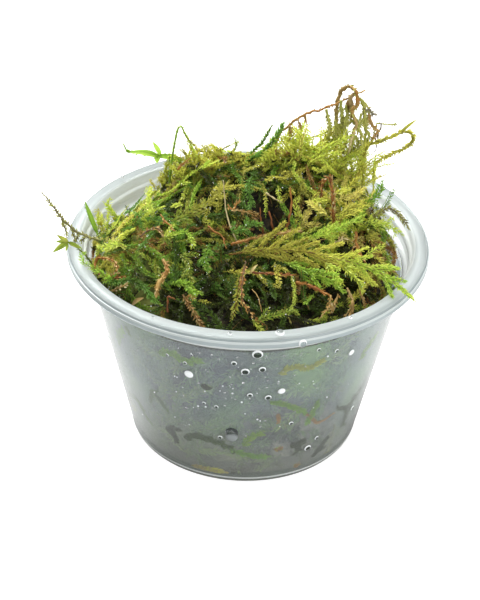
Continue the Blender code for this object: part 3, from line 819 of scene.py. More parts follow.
def leaf_finish(name, tones, foot, point):
    """Thin wet leaves, near half of whose light comes through them from behind."""
    made, tree, skin = new_finish(name, {"Roughness": 0.38, "Specular IOR Level": 0.22})
    colour = toned(tree, tones, foot, point)
    tree.links.new(colour, skin.inputs["Base Color"])
    glow = add_node(tree, "BsdfTranslucent", (), {"Color": colour})
    leafy = add_node(tree, "MixShader", {"Fac": 0.45}, {1: skin.outputs["BSDF"], 2: glow.outputs["BSDF"]})
    tree.links.new(leafy.outputs["Shader"], tree.nodes["Material Output"].inputs["Surface"])
    return made


moss_leaf = leaf_finish("wet_moss", MOSS_TONES, 0.55, 1.3)
lower_moss.piece("moss_lower_shoots", moss_leaf, "moss_green", "moss_heap")
upper_moss.piece("moss_upper_shoots", moss_leaf, "moss_green", "moss_heap")

# ==== the moss against the wall ========================================================
# Shoots that are pressed against the inside of the cup and show through its wall, close
# together near the top and thin at the bottom, where water has settled.

WALL_SHOOTS = 400
# How fast the moss draws in below the foot of the wall, where the cup's corner is round.
CORNER_SLOPE = 1.2


def on_wall(angle, height, gap):
    """A point near the inside of the wall, at an angle in radians, a gap in from it."""
    above = height - BASE_CORNER
    radius = BASE_RADIUS - WALL - gap + above * WALL_SLOPE + min(above, 0.0) * CORNER_SLOPE
    return (radius * math.cos(angle), radius * math.sin(angle), height)


# A path along the wall: its step, how much it bends, how its gap to the wall changes and
# between what gaps it keeps, and from what height it grows. The wall is taken as this wide.
WALL_STEP, WALL_BEND, GAP_CHANGE, GAPS, LOWEST = 0.9, 0.14, 0.22, (0.35, 4.0), 3.0
WALL_RADIUS = 30.0


def wall_line(rng, angle, height, heading, length, gap, tallest):
    """A path along the inside of the wall, a little way in from it."""
    steps = max(int(length / WALL_STEP), 4)
    bend = np.cumsum(rng.normal(0, WALL_BEND, steps + 1))
    line = []
    for step in range(steps + 1):
        line.append(on_wall(angle, height, gap))
        turn = heading + bend[step]
        angle += WALL_STEP * math.cos(turn) / WALL_RADIUS
        height = min(max(height + WALL_STEP * math.sin(turn), LOWEST), tallest + 0.5)
        gap = min(max(gap + rng.normal(0, GAP_CHANGE), GAPS[0]), GAPS[1])
    return np.array(line)


def held_inside(bundle, gap):
    """Moves back what would go through the wall, to a gap in from it."""
    for points in bundle.points:
        above = points[:, 2] - BASE_CORNER
        room = BASE_RADIUS - WALL - gap + above * np.where(above < 0, CORNER_SLOPE, WALL_SLOPE)
        points[:, :2] *= np.minimum(1, room / np.hypot(points[:, 0], points[:, 1]))[:, None]


# How the growth by the wall changes round the cup: up to each angle in degrees, its tones,
# how far in from the wall it starts, and up to what height it grows.
WALL_PATCHES = (
    (-152, (GREEN, BLUISH, FRESH), 0.5, 38.5),
    (-112, (GREEN, FRESH, BLUISH, GREEN, FRESH), 0.4, 38.5),
    (-62, (DEEP, DARK, GREEN, DEEP, BLUISH), 1.5, 38.5),
    (-15, (GREEN, FRESH, OLIVE, GREEN, BLUISH), 0.4, 38.5),
    (50, (DEEP, GREEN, OLIVE, GREEN, LIME, OLIVE, RUST, GOLDEN), 0.6, 38.0),
    (180, (DEEP, GREEN, OLIVE, GREEN, LIME, OLIVE, RUST, GOLDEN), 0.6, 33.0),
)

rng = np.random.default_rng(67)
wall_moss = Bundle()
for number in range(WALL_SHOOTS):
    angle = rng.uniform(-math.pi, math.pi)
    _, tones, nearest, tallest = next(patch for patch in WALL_PATCHES if math.degrees(angle) <= patch[0])
    height = tallest - (tallest - 5.0) * rng.random() ** 1.4
    gap = nearest + rng.uniform(0.0, 2.0)
    line = wall_line(rng, angle, height, rng.uniform(0, 2 * math.pi), rng.uniform(7, 16), gap, tallest)
    face = unit(line[len(line) // 2] * (1, 1, 0) + rng.normal(0, 4, 3))
    tone = tones[rng.integers(len(tones))]
    add_shoot(wall_moss, line, face, rng, tone, rng.uniform(1.2, 1.9), twigs=int(rng.integers(0, 3)),
              twig_length=3.5, smooth=False, spacing=0.58)
# The same tones, but paler. This is painted light, since the moss behind the wall gets only dim light through
# it.
WALL_TONES_PAINTED_LIGHTER = tuple((place, tuple(0.06 + 0.76 * part**0.8 for part in colour)) for place, colour in MOSS_TONES)
wall_leaf_painted_lighter = leaf_finish("wall_moss_painted_lighter", WALL_TONES_PAINTED_LIGHTER, 0.6, 1.1)
held_inside(wall_moss, 0.3)
wall_moss.piece("moss_wall_shoots", wall_leaf_painted_lighter, "moss_green", "moss_heap")

# Scraps and shoots that lie flat on the wet wall, where they show sharp through it:
# their tone, their width, and the angle in degrees and the height of each of their points.
SCRAPS = (
    (0.08, 2.0, ((-118, 11.6), (-113, 13.4), (-109, 13.7), (-104, 13.2), (-100, 12.5), (-94, 10.7))),
    (0.29, 1.6, ((-96, 11.2), (-91, 10.0), (-87, 9.3), (-82, 8.7), (-78, 8.5))),
    (0.33, 1.9, ((-90, 12.3), (-88, 14.3), (-86, 15.6), (-82, 16.8))),
    (GREEN, 1.5, ((-80, 26.3), (-77, 25.6), (-73, 24.6), (-68, 22.7), (-63, 20.6))),
    (RUST, 0.8, ((-63, 20.4), (-59, 17.8), (-56, 16.1), (-51, 16.2), (-47, 17.0))),
    (DARK, 2.4, ((-128, 12.3), (-125, 12.6), (-122, 14.2))),
    (DARK, 1.6, ((-124, 12.4), (-123.5, 10.8), (-122, 8.9))),
    (0.07, 2.4, ((-23, 20.5), (-28, 18.5), (-34, 16.6), (-38, 15.5))),
    (0.06, 1.9, ((-35, 16.0), (-36, 12.5), (-35, 9.3))),
    (DARK, 1.3, ((-36, 15.5), (-41, 16.6), (-46, 18.0))),
    (DARK, 2.3, ((-68, 11.6), (-64, 11.0), (-60, 11.5))),
    (DARK, 1.6, ((-64, 10.8), (-63.5, 9.4), (-64, 8.0))),
    (DARK, 1.6, ((-54, 4.6), (-51, 6.0), (-48, 8.0), (-46, 9.6))),
    (DARK, 1.6, ((-51, 6.6), (-47, 5.6))),
    (DEEP, 1.3, ((-135, 18.2), (-133, 20.4), (-131, 22.6), (-128, 23.4))),
    (DEEP, 1.2, ((-130, 22.4), (-127, 20.0), (-124, 18.0))),
    (DEEP, 1.1, ((-158, 13.7), (-151, 14.9), (-145, 15.2), (-141, 13.7))),
    (DEEP, 1.0, ((-147, 16.0), (-142, 12.6), (-137, 10.2))),
    (RUST, 1.3, ((-64, 3.1), (-61, 3.9))),
    (STRAW, 1.5, ((-116, 2.6), (-110, 2.4), (-104, 2.5), (-98, 2.6))),
    (GOLDEN, 1.8, ((-109, 3.6), (-105, 3.2), (-100, 3.3))),
    (DARK, 2.2, ((-106, 29.0), (-104.5, 30.4))),
    (DEEP, 1.4, ((-139, 38.9), (-138, 36.8))),
    (RUST, 1.0, ((-76, 22.2), (-75, 19.0))),
    (RUST, 1.2, ((-76, 10.8), (-72, 10.6))),
    (GREEN, 1.4, ((-58, 23.8), (-60, 19.6), (-62, 16.6))),
    (GREEN, 1.8, ((-124, 36.0), (-118, 37.4), (-112, 36.2), (-106, 37.8))),
    (OLIVE, 1.8, ((-78, 34.5), (-72, 36.0), (-66, 34.8), (-60, 36.4))),
    (BLUISH, 2.0, ((-150, 30.0), (-146, 34.0), (-141, 37.5))),
    (GREEN, 2.0, ((-40, 30.5), (-36, 33.5), (-31, 35.0))),
    (OLIVE, 2.0, ((20, 12.0), (27, 14.5), (33, 13.0))),
    (DEEP, 1.8, ((62, 22.0), (67, 25.0), (74, 24.0))),
    (GREEN, 2.0, ((105, 10.0), (112, 12.0), (119, 10.5))),
    (RUST, 1.5, ((150, 18.0), (156, 15.0), (163, 15.5))),
    (OLIVE, 2.2, ((195, 8.0), (200, 10.5), (207, 10.0))),
)
# Green ones wider than this are shoots, and have leaves along a narrow middle.
LEAFY_FROM, LEAFY_MIDDLE = 1.1, 0.45
SCRAP_GAP, SCRAP_LOWEST = 0.06, 3.2
scraps = Bundle()
for tone, width, places in SCRAPS:
    route = [on_wall(math.radians(turn), max(height, SCRAP_LOWEST), SCRAP_GAP) for turn, height in places]
    path = smooth_path(route, 0.3)
    outward = unit(path * (1, 1, 0))
    share = np.linspace(0, 1, len(path))
    ragged = np.where(np.arange(len(path)) % 2, 1.2, 0.75) + rng.normal(0, 0.12, len(path))
    widths = width * (0.3 + 0.7 * np.sin(math.pi * share**0.8)) * ragged
    if tone > BLUISH and width > LEAFY_FROM:
        add_leaves(scraps, path, outward, rng, tone, width * 0.7, 0.45, ranks=2, flat=0.95)
        widths = widths * LEAFY_MIDDLE
    add_ribbon(scraps, path, widths, outward, tone + rng.normal(0, 0.006, len(path)), fold=-0.03)
    ahead, _, across = along(path, outward)
    for number, step in enumerate(range(1, len(path) - 1, 4)):
        tip = path[step] + (ahead[step] + across[step] * (1, -1)[number % 2]) * width * rng.uniform(0.4, 0.75)
        tip = on_wall(math.atan2(tip[1], tip[0]), max(tip[2], SCRAP_LOWEST), SCRAP_GAP)
        add_blade(scraps, path[step], tip, width * 0.5, outward[step], tone, bow=0.0)
held_inside(scraps, 0.05)
scraps.piece("moss_on_the_wall", moss_leaf, "moss_green", "moss_heap")

# ==== the tall loose shoots at the back ================================================
# Lighter growth that stands up from the heap at the back: dry bent stems, strings and a long
# leafy loop that hang together, under them a fringe and an open net of pale shoots, a smaller
# net to their left, and two dark shoots between the nets.


def sprig(name, points, tone, size, seed, facing=(0.1, -0.75, 0.65), blades=(), blade_tone=None, **ways):
    """A shoot that stands clear of the heap, as a piece in place of its plain solid. Its
    blades are single broad leaves, each from a foot to a tip and so wide."""
    draw = np.random.default_rng(seed)
    bundle = Bundle()
    facing = unit(np.array(facing, float))
    add_shoot(bundle, points, facing, draw, tone, size, **ways)
    blade_tone = float(np.mean(tone)) if blade_tone is None else blade_tone
    for foot, tip, width in blades:
        face = unit(facing + draw.normal(0, 0.2, 3))
        add_blade(bundle, foot, tip, width, face, blade_tone + draw.normal(0, 0.015))
    return bundle.piece(name + "_sprig", moss_leaf, "moss_leafy", name)


def add_stalk(bundle, points, radius, tone, draw, knotty=0.18, end_share=0.6, wiggle=0.12):
    """A dry stem: an uneven thin tube with small kinks."""
    path = smooth_path(points, 0.5)
    inner = len(path) - 2
    kinks = draw.normal(0, wiggle, (inner, 3))
    path[1:-1] += (kinks + np.roll(kinks, 1, 0)) / 2
    knots = 1 + draw.normal(0, knotty, len(path)).clip(-0.4, 0.5)
    add_stem(bundle, path, radius, tone, 5, end_share, knots)
    return path


def stalk(name, lines, radius, tone, seed, leaves=None, mixed=0.03, **ways):
    """A dry stem with its forks, and a few small dead leaves where it has any."""
    draw = np.random.default_rng(seed)
    bundle = Bundle()
    face = unit(np.array((0.1, -0.7, 0.6)))
    for number, line in enumerate(lines):
        path = add_stalk(bundle, line, radius * (0.75 if number else 1), tone, draw, **ways)
        if leaves:
            share, leaf_tone, length = leaves
            add_leaves(bundle, path, face, draw, leaf_tone, length, length * 0.4, thin=share, spread=mixed,
                       lean=0.6)
    return bundle.piece(name + "_stalk", dry_stem, "moss_dry", name)


DRY_TONES = (
    (0.05, (0.05, 0.035, 0.02)),
    (0.18, (0.12, 0.075, 0.03)),
    (0.31, (0.2, 0.07, 0.022)),
    (0.44, (0.34, 0.15, 0.03)),
    (0.57, (0.38, 0.24, 0.07)),
    (0.70, (0.58, 0.48, 0.25)),
    (0.83, (0.42, 0.44, 0.09)),
    (0.95, (0.19, 0.165, 0.1)),
)
SOOTY, BROWN, RUDDY, ORANGE, TAN, PALE, SALLOW, GREYISH = (place for place, _ in DRY_TONES)

dry_stem, tree, skin = new_finish("dry_moss_stem", {"Roughness": 0.6, "Specular IOR Level": 0.2})
tree.links.new(toned(tree, DRY_TONES, 0.75, 1.2), skin.inputs["Base Color"])

ARCH = [(5, 12, 57), (5.5, 13, 63), (6.5, 13, 66.5), (9, 13, 69), (11.5, 13, 71), (15.5, 13, 72.5),
        (20, 13.5, 74.5), (24, 14, 76.5)]
BENT = [(19, 14.5, 56), (18.5, 16, 66.5), (18.5, 16, 72.5), (19, 15.5, 75.5), (20.5, 14, 77.3), (22, 12, 77),
        (22.5, 11, 75), (21.5, 11, 72.5), (22.5, 11, 70), (21.5, 11, 66.5), (21, 10.5, 62.5), (20.5, 10, 58)]
STRING_BACK = [(20.5, 16.5, 54), (20, 17.7, 60), (20, 18, 66), (19.5, 18, 71)]
STRING_RIGHT = [(23.5, 15, 54), (24, 16, 58), (25, 16.5, 62.5), (25, 17, 65.5), (25.5, 17, 70),
                (23.5, 17, 73)]
STRING_TWIG = [(23.5, 12, 55), (24, 13, 60), (25.5, 13.5, 63.5), (26.5, 13.5, 66), (27, 13.5, 69)]
TWIG_END = [(27, 13.5, 69), (29, 14.3, 68.5), (31.5, 14.7, 68.2)]
LOOP = [(24.5, 10.5, 56), (25, 11.5, 64), (28, 12, 65.5), (30.5, 12.5, 66.5), (33, 13, 67.5), (34.6, 13, 67),
        (35, 12.5, 65.5), (33.3, 11.5, 64.3), (30.5, 11, 63), (27, 9.5, 61), (27, 8, 54)]

ARCH_FORK = [(11.5, 13, 71), (11.6, 12.8, 70), (12, 12.5, 69)]
BENT_TONES = (SALLOW, SALLOW, 0.78, 0.7, 0.62, 0.6, TAN, 0.45, TAN, 0.62, PALE, 0.76, SALLOW)
stalk("arch_stem", [ARCH, ARCH_FORK], 0.34, (TAN, TAN, ORANGE, TAN), 3, leaves=(0.3, TAN, 0.8))
stalk("bent_shoot", [BENT], 0.5, BENT_TONES, 5, leaves=(0.9, SALLOW, 1.0))
stalk("string_back", [STRING_BACK], 0.36, SALLOW, 7, leaves=(0.8, SALLOW, 0.9))
stalk("string_right", [STRING_RIGHT], 0.38, SALLOW, 9, leaves=(0.8, SALLOW, 0.9))
stalk("string_twig", [STRING_TWIG, TWIG_END], 0.2, SALLOW, 11, leaves=(0.4, SALLOW, 0.7))
sprig("loop_shoot", LOOP, (0.5, 0.54, 0.52, 0.45, 0.56, 0.6), 1.15, 13,
      stem_tone=(0.48, 0.45, 0.43, 0.5, 0.56), ranks=4, lean=0.6, stem=0.34,
      blades=(((32, 13, 67), (35.6, 13.5, 70.2), 0.7),), blade_tone=0.38)

# Dead strands that hang from the bent shoot and the arch, each a tone, a radius and its
# points.
HANGING_STRANDS = (
    (0.62, 0.42, ((22, 12.5, 76.5), (21, 12.5, 75), (21.5, 12.5, 72), (22.5, 12.5, 69.5), (23, 12.5, 67))),
    (SALLOW, 0.3, ((19, 13, 74.5), (19, 13, 73.5), (19.5, 13, 70), (19, 13, 67.5), (19, 13, 64))),
    (TAN, 0.25, ((20.5, 13, 74.5), (20.5, 13, 72))),
    (SALLOW, 0.28, ((21.5, 13, 69.5), (19.5, 13, 68.5), (18.5, 13, 68.5))),
    (SALLOW, 0.3, ((22, 12, 67.5), (22, 12, 64), (21.5, 12, 61.5))),
    (SALLOW, 0.26,
     ((23, 12.5, 75.5), (24, 12.5, 73), (24.5, 12.5, 69), (25.5, 12.5, 66), (24.5, 12.5, 62.5))),
    (GREYISH, 0.2, ((24, 12.5, 73), (25.5, 12.5, 72), (26.5, 12.5, 71.5))),
    (PALE, 0.07, ((24.5, 12.5, 73.5), (27, 12.5, 73), (28.5, 12.5, 72))),
    (TAN, 0.2, ((25, 12.5, 72), (26, 12.5, 69), (27, 12.5, 67.5), (26, 12.5, 65))),
    (GREYISH, 0.16, ((28, 13.5, 69), (27.5, 13.5, 65.5), (27, 13.5, 62))),
    (SALLOW, 0.28, ((22, 12, 62), (24, 12, 63.5), (24, 12, 58.5))),
    (SALLOW, 0.28, ((16, 12.5, 72.5), (16.5, 12.5, 70), (17, 12.5, 68), (16.5, 12.5, 64.5))),
    (TAN, 0.18, ((10, 12.5, 70), (10.5, 12.5, 68.5))),
    (TAN, 0.22, ((8.3, 12.5, 68.4), (8.6, 12.5, 66.8), (8.2, 12.5, 65))),
    (SALLOW, 0.26, ((20.5, 12.5, 72), (20, 12, 69), (20.5, 12, 66), (20.2, 12, 62))),
    (SALLOW, 0.26, ((23.5, 12, 72), (23.2, 12, 69), (23.8, 12, 66), (23.4, 12, 62))),
    (SALLOW, 0.26, ((20.2, 12.6, 73.6), (20.6, 12.4, 71), (20.2, 12.4, 68.8))),
    (SALLOW, 0.24, ((21.2, 12.4, 70.4), (22.4, 12.2, 69.4), (23.6, 12.2, 69.8), (24.8, 12.2, 68.8))),
    (SALLOW, 0.24, ((18, 12.4, 70), (18.4, 12.2, 67.4), (17.8, 12, 65.2), (18.2, 12, 63))),
    (SALLOW, 0.22, ((22.6, 12.2, 66.6), (23.2, 12, 64.8), (22.6, 12, 63), (23, 12, 61))),
)
# The side that the strands' leaves turn to, and the radius up to which strands have none.
STRAND_FACE = np.array((0.1, -0.8, 0.5))
BARE_TO = 0.17
strands = Bundle()
draw = np.random.default_rng(15)
for tone, radius, places in HANGING_STRANDS:
    path = add_stalk(strands, places, radius * 1.25, tone, draw, end_share=0.5)
    if radius > BARE_TO:
        add_leaves(strands, path, STRAND_FACE, draw, tone, 1.1, 0.5, thin=0.9, lean=0.6, spread=0.03)
strands.piece("hanging_strands", dry_stem, "moss_dry", "bent_shoot")

FRINGE = {
    "fringe_shoot_1": [(1.5, 14, 56), (3, 15, 59.5), (5.5, 15, 62), (8.5, 15.3, 65), (13, 15.5, 67.5)],
    "fringe_shoot_2": [(7, 12.5, 57), (8, 12.3, 63), (9, 11.8, 67)],
    "fringe_shoot_3": [(11.5, 13, 57), (11.5, 13.3, 62), (12, 12.5, 66)],
    "fringe_shoot_4": [(16, 12, 57), (16.5, 13, 62.5), (16.5, 13, 66.5), (17, 13, 69)],
    "fringe_shoot_5": [(7, 8.5, 55), (8, 9.3, 58.7), (12, 9.7, 61.2), (16, 10, 63.7), (18.7, 9.5, 66)],
    "fringe_shoot_6": [(24, 6.5, 54), (24.5, 8, 60), (23.5, 9, 63)],
}
for number, (name, points) in enumerate(FRINGE.items()):
    sprig(name, points, (LIME, 0.56)[number % 2], 1.05, 20 + number, stem_tone=GOLDEN, twigs=6, twig_length=4)


# A net's shoots: the step between their points, how far they keep from a hole, how far under
# the ceiling they turn aside, how far over it they end, and how steeply they then lean.
NET_STEP, HOLE_GAP, TURN_BELOW, END_ABOVE, TURNED_LEAN = 0.9, 0.7, 0.6, 0.2, 2.2


def loose_net(name, count, centre, radii, ceiling, holes, tones, seed):
    """A net of upright shoots over a deep loose spot, up to a ceiling and round its holes."""
    draw = np.random.default_rng(seed)
    net = Bundle()
    for number in range(count):
        turn, out = draw.uniform(0, 2 * math.pi), math.sqrt(draw.random())
        x, y = centre[0] + radii[0] * out * math.cos(turn), centre[1] + radii[1] * out * math.sin(turn)
        z = float(heap_top(x, y)) - draw.uniform(1, 8)
        lean_side, lean_back, bend = draw.normal(0, 0.7), draw.normal(0, 0.2), draw.normal(0, 0.14)
        line = []
        for _ in range(int(draw.uniform(9, 21))):
            top = np.interp(x, *ceiling)
            if z > top - TURN_BELOW:
                lean_side = math.copysign(TURNED_LEAN, lean_side)
            if z > top + END_ABOVE:
                break
            for hole_x, hole_z, half in holes:
                near = math.hypot(x - hole_x, z - hole_z)
                if near < half + HOLE_GAP:
                    push = (half + HOLE_GAP) / max(near, 0.1)
                    x, z = hole_x + (x - hole_x) * push, hole_z + (z - hole_z) * push
            line.append((x, y, z))
            x, y, z = np.array((x, y, z)) + unit(np.array((lean_side, lean_back, 1.0))) * NET_STEP
            lean_side += bend
        if len(line) > 4:
            face = unit(np.array((0.0, -1.0, 0.3)) + draw.normal(0, 0.4, 3))
            add_shoot(net, line, face, draw, tones[number % len(tones)], draw.uniform(0.7, 0.95),
                      stem_tone=0.46, twigs=int(draw.integers(0, 3)), twig_length=3.5, stem=0.2, thin=0.78,
                      lean=0.55)
    return net.piece(name, moss_leaf, "moss_leafy", "moss_heap")


# Each net's holes as x, height and half width, and its ceiling as points in x and their heights.
NET_HOLES = (
    (13, 65.5, 1.5), (7, 62.5, 1.4), (17, 62.5, 0.9), (23, 66.5, 1.6), (25.5, 64, 1.3), (19.5, 63, 0.6),
    (11, 57, 0.6), (15, 59.5, 0.5), (9.5, 66.8, 0.6),
)
NET_CEILING = ((1, 4, 6, 7.5, 10.5, 13.5, 17, 20, 24, 26),
               (61, 64.5, 67, 68.4, 69.8, 69.8, 70.8, 70.5, 67, 62))
NET_TONES = (LIME, 0.57, LIME, 0.62, 0.59, YELLOW, 0.6)
loose_net("pale_net_right", 120, (13.5, 12), (11, 3.8), NET_CEILING, NET_HOLES, NET_TONES, 31)
LEFT_HOLES = (
    (-15.2, 59.3, 0.8), (-12.6, 57.4, 0.9), (-10.6, 59.8, 0.6), (-7.2, 57.6, 0.6), (-17, 56.4, 0.6),
    (-23, 58, 4), (-23.5, 52, 4),
)
LEFT_CEILING = ((-20, -18.5, -16, -13, -10, -7.5, -5.5, -2, 1),
                (56.5, 58.5, 61.8, 62.6, 62.2, 62.2, 60.5, 62, 60))
LEFT_TONES = (GOLDEN, OLIVE, 0.57, 0.45, 0.48, 0.57)
loose_net("pale_net_left", 95, (-10, 12.5), (9.5, 3.6), LEFT_CEILING, LEFT_HOLES, LEFT_TONES, 33)

DARK_SHOOT = [(-2, 9, 55.5), (-0.5, 11, 60), (2.5, 11, 62.5), (4.5, 11, 65), (6, 11, 67.5), (7, 11, 70)]
DARK_SIDE = [(-1, 12.5, 56), (0.5, 13.7, 61), (2.5, 13.7, 63.5), (3.5, 13, 66), (4.5, 13, 68)]
sprig("dark_shoot", DARK_SHOOT, (DEEP, 0.27, 0.25), 1.35, 41, stem_tone=DEEP, ranks=4, lean=0.55, flat=0.4,
      taper=0.08)
sprig("dark_side_shoot", DARK_SIDE, (0.27, 0.33), 1.0, 43, ranks=4, lean=0.5, stem=0.25)

# ==== the loose shoots at the left =====================================================
# A few shoots that stand out over the left side of the rim: soft pale ones with broad
# leaves, a thin arch, a dry grey wisp, and a star of leaves that hangs over the rim.

HOOK = [(-5, 12, 56), (-4.5, 14, 59.5), (-3, 14, 62.5), (-3.5, 14, 64.5)]
PALE_LEFT = [(-13, 12.5, 55), (-16, 14, 59), (-19.5, 14, 59.7), (-23, 14, 60), (-26.5, 14, 60.5),
             (-27.5, 14, 62)]
PALE_LEFT_BLADES = (((-14.5, 14, 58.4), (-21, 14, 59.3), 1.5), ((-19.5, 14, 59.1), (-27, 14, 60.2), 1.5),
                    ((-19.4, 14, 59.6), (-21.2, 14, 62.9), 1.1),
                    ((-20.2, 14, 59.7), (-20.3, 13.8, 57.8), 1.4))
THIN_ARCH = [(-17.5, 10, 54), (-17, 11, 59), (-16.5, 11, 63), (-15.7, 11, 67.5), (-15, 11, 68.5),
             (-14.3, 11, 67.3), (-13, 11, 64.5), (-11.5, 11, 61), (-10.5, 11, 57)]
WISP = [(-29.5, -4, 48), (-35, -4, 49.7), (-37.5, -4, 51.5), (-39.5, -4, 54), (-41.5, -4, 57),
        (-43.5, -4, 60)]
WISP_TAIL = [(-39.5, -4, 53.5), (-39, -4, 51.5), (-38.5, -4, 49)]
WISP_FLUFF = ([(-37.5, -4, 51.5), (-37, -4, 49), (-37, -4, 47.5)], [(-36, -4, 50.5), (-36.5, -4, 48)],
              [(-34.5, -4, 49.5), (-35.5, -4, 48)])
LEAFY_TIP = [(-32.5, -8, 44.5), (-34.5, -8, 47.5), (-36.5, -8, 49.5), (-38, -8, 50.5)]
LEAFY_TIP_STAR = (((-37.8, -8, 50.4), (-40.2, -8, 52.1), 1.0), ((-37.8, -8, 50.5), (-41.2, -8.4, 48), 1.2),
                  ((-38, -8, 50.4), (-35, -8.2, 49), 0.9), ((-38, -8, 50.3), (-38.5, -8, 48.1), 0.6),
                  ((-38.4, -8, 50.4), (-40.5, -8, 50.5), 0.7))
SPIKE = [(-31, 3, 44.5), (-34, 4, 48), (-35, 5, 50), (-36, 6, 52.5)]
SPIKE_BLADE = ((-32.6, 3.6, 45), (-35.4, 4, 53.6), 1.1)
TUFT_A = [(-27, 7, 45.5), (-30, 8, 48.5), (-31, 9, 50)]
TUFT_B = [(-30, 6, 43), (-32.5, 7, 46.5), (-32.7, 8, 48.7)]
RIM_SHOOT = [(-27, -17.5, 46.5), (-31, -18, 49.8), (-34, -15, 49.9), (-35, -12, 50)]
BRIGHT_SHOOT = [(-15.5, -22.5, 49.8), (-13.5, -23, 50.5), (-11.5, -24, 50.5), (-11, -26.5, 49.3)]
BROWN_SHOOT = [(-17.5, -15.5, 51.3), (-16.5, -19, 51), (-18, -22.5, 50.2), (-18.5, -25, 48.3)]

sprig("hooked_shoot", HOOK, 0.36, 0.8, 51, stem=0.3, lean=0.5)
sprig("pale_shoot_left", PALE_LEFT, (0.65, 0.67, 0.68, 0.7), 1.1, 53, ranks=4, lean=0.35, stem=0.35,
      blades=PALE_LEFT_BLADES)
sprig("thin_arch", THIN_ARCH, (0.69, 0.68, 0.67, 0.63, 0.6), 0.7, 55, ranks=3, lean=0.35, stem=0.4)
stalk("wisp", [WISP, WISP_TAIL, *WISP_FLUFF], 0.3, (0.86, 0.92, GREYISH, 0.93), 57, end_share=0.25,
      leaves=(0.75, SALLOW, 0.9))
sprig("leafy_tip", LEAFY_TIP, 0.36, 0.7, 59, thin=0.5, stem=0.3, blades=LEAFY_TIP_STAR)
sprig("spike_left", SPIKE, 0.33, 0.5, 61, lean=0.3, thin=0.5, blades=(SPIKE_BLADE,))
sprig("pale_tuft_a", TUFT_A, (GREEN, LIME, LIME), 1.1, 63, twigs=2, twig_length=2.5, stem=0.25)
sprig("pale_tuft_b", TUFT_B, GOLDEN, 1.1, 65, twigs=3, twig_length=3, stem=0.25)
sprig("rim_shoot", RIM_SHOOT, FRESH, 1.0, 67, twigs=2, twig_length=3)
sprig("bright_shoot", BRIGHT_SHOOT, FRESH, 1.15, 69, ranks=4)
stalk("brown_shoot", [BROWN_SHOOT], 0.4, (TAN, ORANGE, TAN, TAN), 71, leaves=(1.0, TAN, 1.1), knotty=0.35)

# ==== the stems and shoots in the middle ===============================================
# Bare stalks and sticks that stand out of the heap, and the long feathery shoot in front of
# them, whose side shoots spread to both sides like the barbs of a feather.

STRAW_STEM = [(-1.5, -11, 51), (-2.5, -10, 53), (-4, -7.8, 55.5), (-5, -5, 58.5), (-5.5, -2.5, 63)]
STICK_A = [(3.5, -8.5, 52), (2.5, -6.5, 56), (2.3, -5.5, 58.3)]
STICK_B = [(5.8, -8, 52), (5, -7, 55.5), (4.2, -5.5, 57.5)]
RED_STICK = [(7.5, -7.5, 52.5), (8.5, -7, 57), (8.7, -5.5, 60), (8.5, -4, 62.5)]
ORANGE_STEM = [(-3.5, -12, 53.2), (-0.5, -11.5, 54), (3, -10.5, 54.6), (7, -9.8, 55), (11, -9, 55)]
FROND = [(-4, -14.5, 52.3), (0.5, -14, 53), (5, -14, 53.5), (9, -14, 53.5), (13.5, -15, 53.5),
         (18.5, -16, 52.8), (23, -17, 52.3), (27.3, -18, 50.9), (30.7, -21.5, 50.2), (34, -26, 49.5)]
FROND_TIP = [(24.5, -14.7, 53.4), (26.3, -13.5, 53.8), (28, -12.5, 54.3)]
FROND_UPPER = [(11.5, -11.5, 54.9), (14.5, -11, 55.3), (17.5, -10, 56), (21, -8, 56.8), (24, -6, 57.5)]
FROND_LOWER = [(7.5, -16.5, 52), (11, -18, 51.5), (14.5, -20, 51), (19, -21.5, 49.8)]
HANGING = [(-0.5, -17.5, 52), (-1.5, -22, 51.3), (-2, -28, 50), (-3, -31.5, 47.7)]
RED_TWIG = [(10, -21.5, 50.3), (13, -22.3, 50), (17, -24, 48.7)]

stalk("straw_stem", [STRAW_STEM], 0.17, PALE, 81, knotty=0.08, wiggle=0.03)
stalk("brown_stick_a", [STICK_A], 0.22, RUDDY, 83)
stalk("brown_stick_b", [STICK_B], 0.22, RUDDY, 85)
stalk("red_stick", [RED_STICK], 0.28, (0.42, 0.38, ORANGE), 87)
stalk("orange_stem", [ORANGE_STEM], 0.26, (0.4, ORANGE, TAN, 0.6), 89, leaves=(1.0, TAN, 0.9), knotty=0.35)
sprig("feather_shoot", FROND, (0.44, 0.45, 0.47, 0.56, 0.65, 0.66, 0.63), 1.0, 91,
      stem_tone=(RUST, 0.84, STRAW), twigs=23, twig_length=9.5, twig_span=(0.06, 0.8), opening=(0.25, 0.7),
      lean=0.6, ranks=4, taper=0.05, stem=0.24, spacing=0.24)
sprig("feather_tip_side", FROND_TIP, LIME, 0.9, 93)
frond_side = {"opening": (0.3, 0.6), "lean": 0.6, "ranks": 4}
sprig("feather_upper_side", FROND_UPPER, 0.65, 1.0, 95, twigs=7, twig_length=4.5, **frond_side)
sprig("feather_lower_side", FROND_LOWER, 0.68, 1.05, 97, twigs=8, twig_length=6, **frond_side)
sprig("hanging_shoot", HANGING, OLIVE, 1.1, 99, stem_tone=RUST)
stalk("red_twig", [RED_TWIG], 0.28, (ORANGE, RUDDY, ORANGE), 101, leaves=(0.9, ORANGE, 0.9), knotty=0.3)

# ==== the shoots at the right ==========================================================
# Short branching shoots round a shaggy brown upright stem, in yellow, fresh and dark green,
# with a dark dry twig and, low at the front, a dry root.

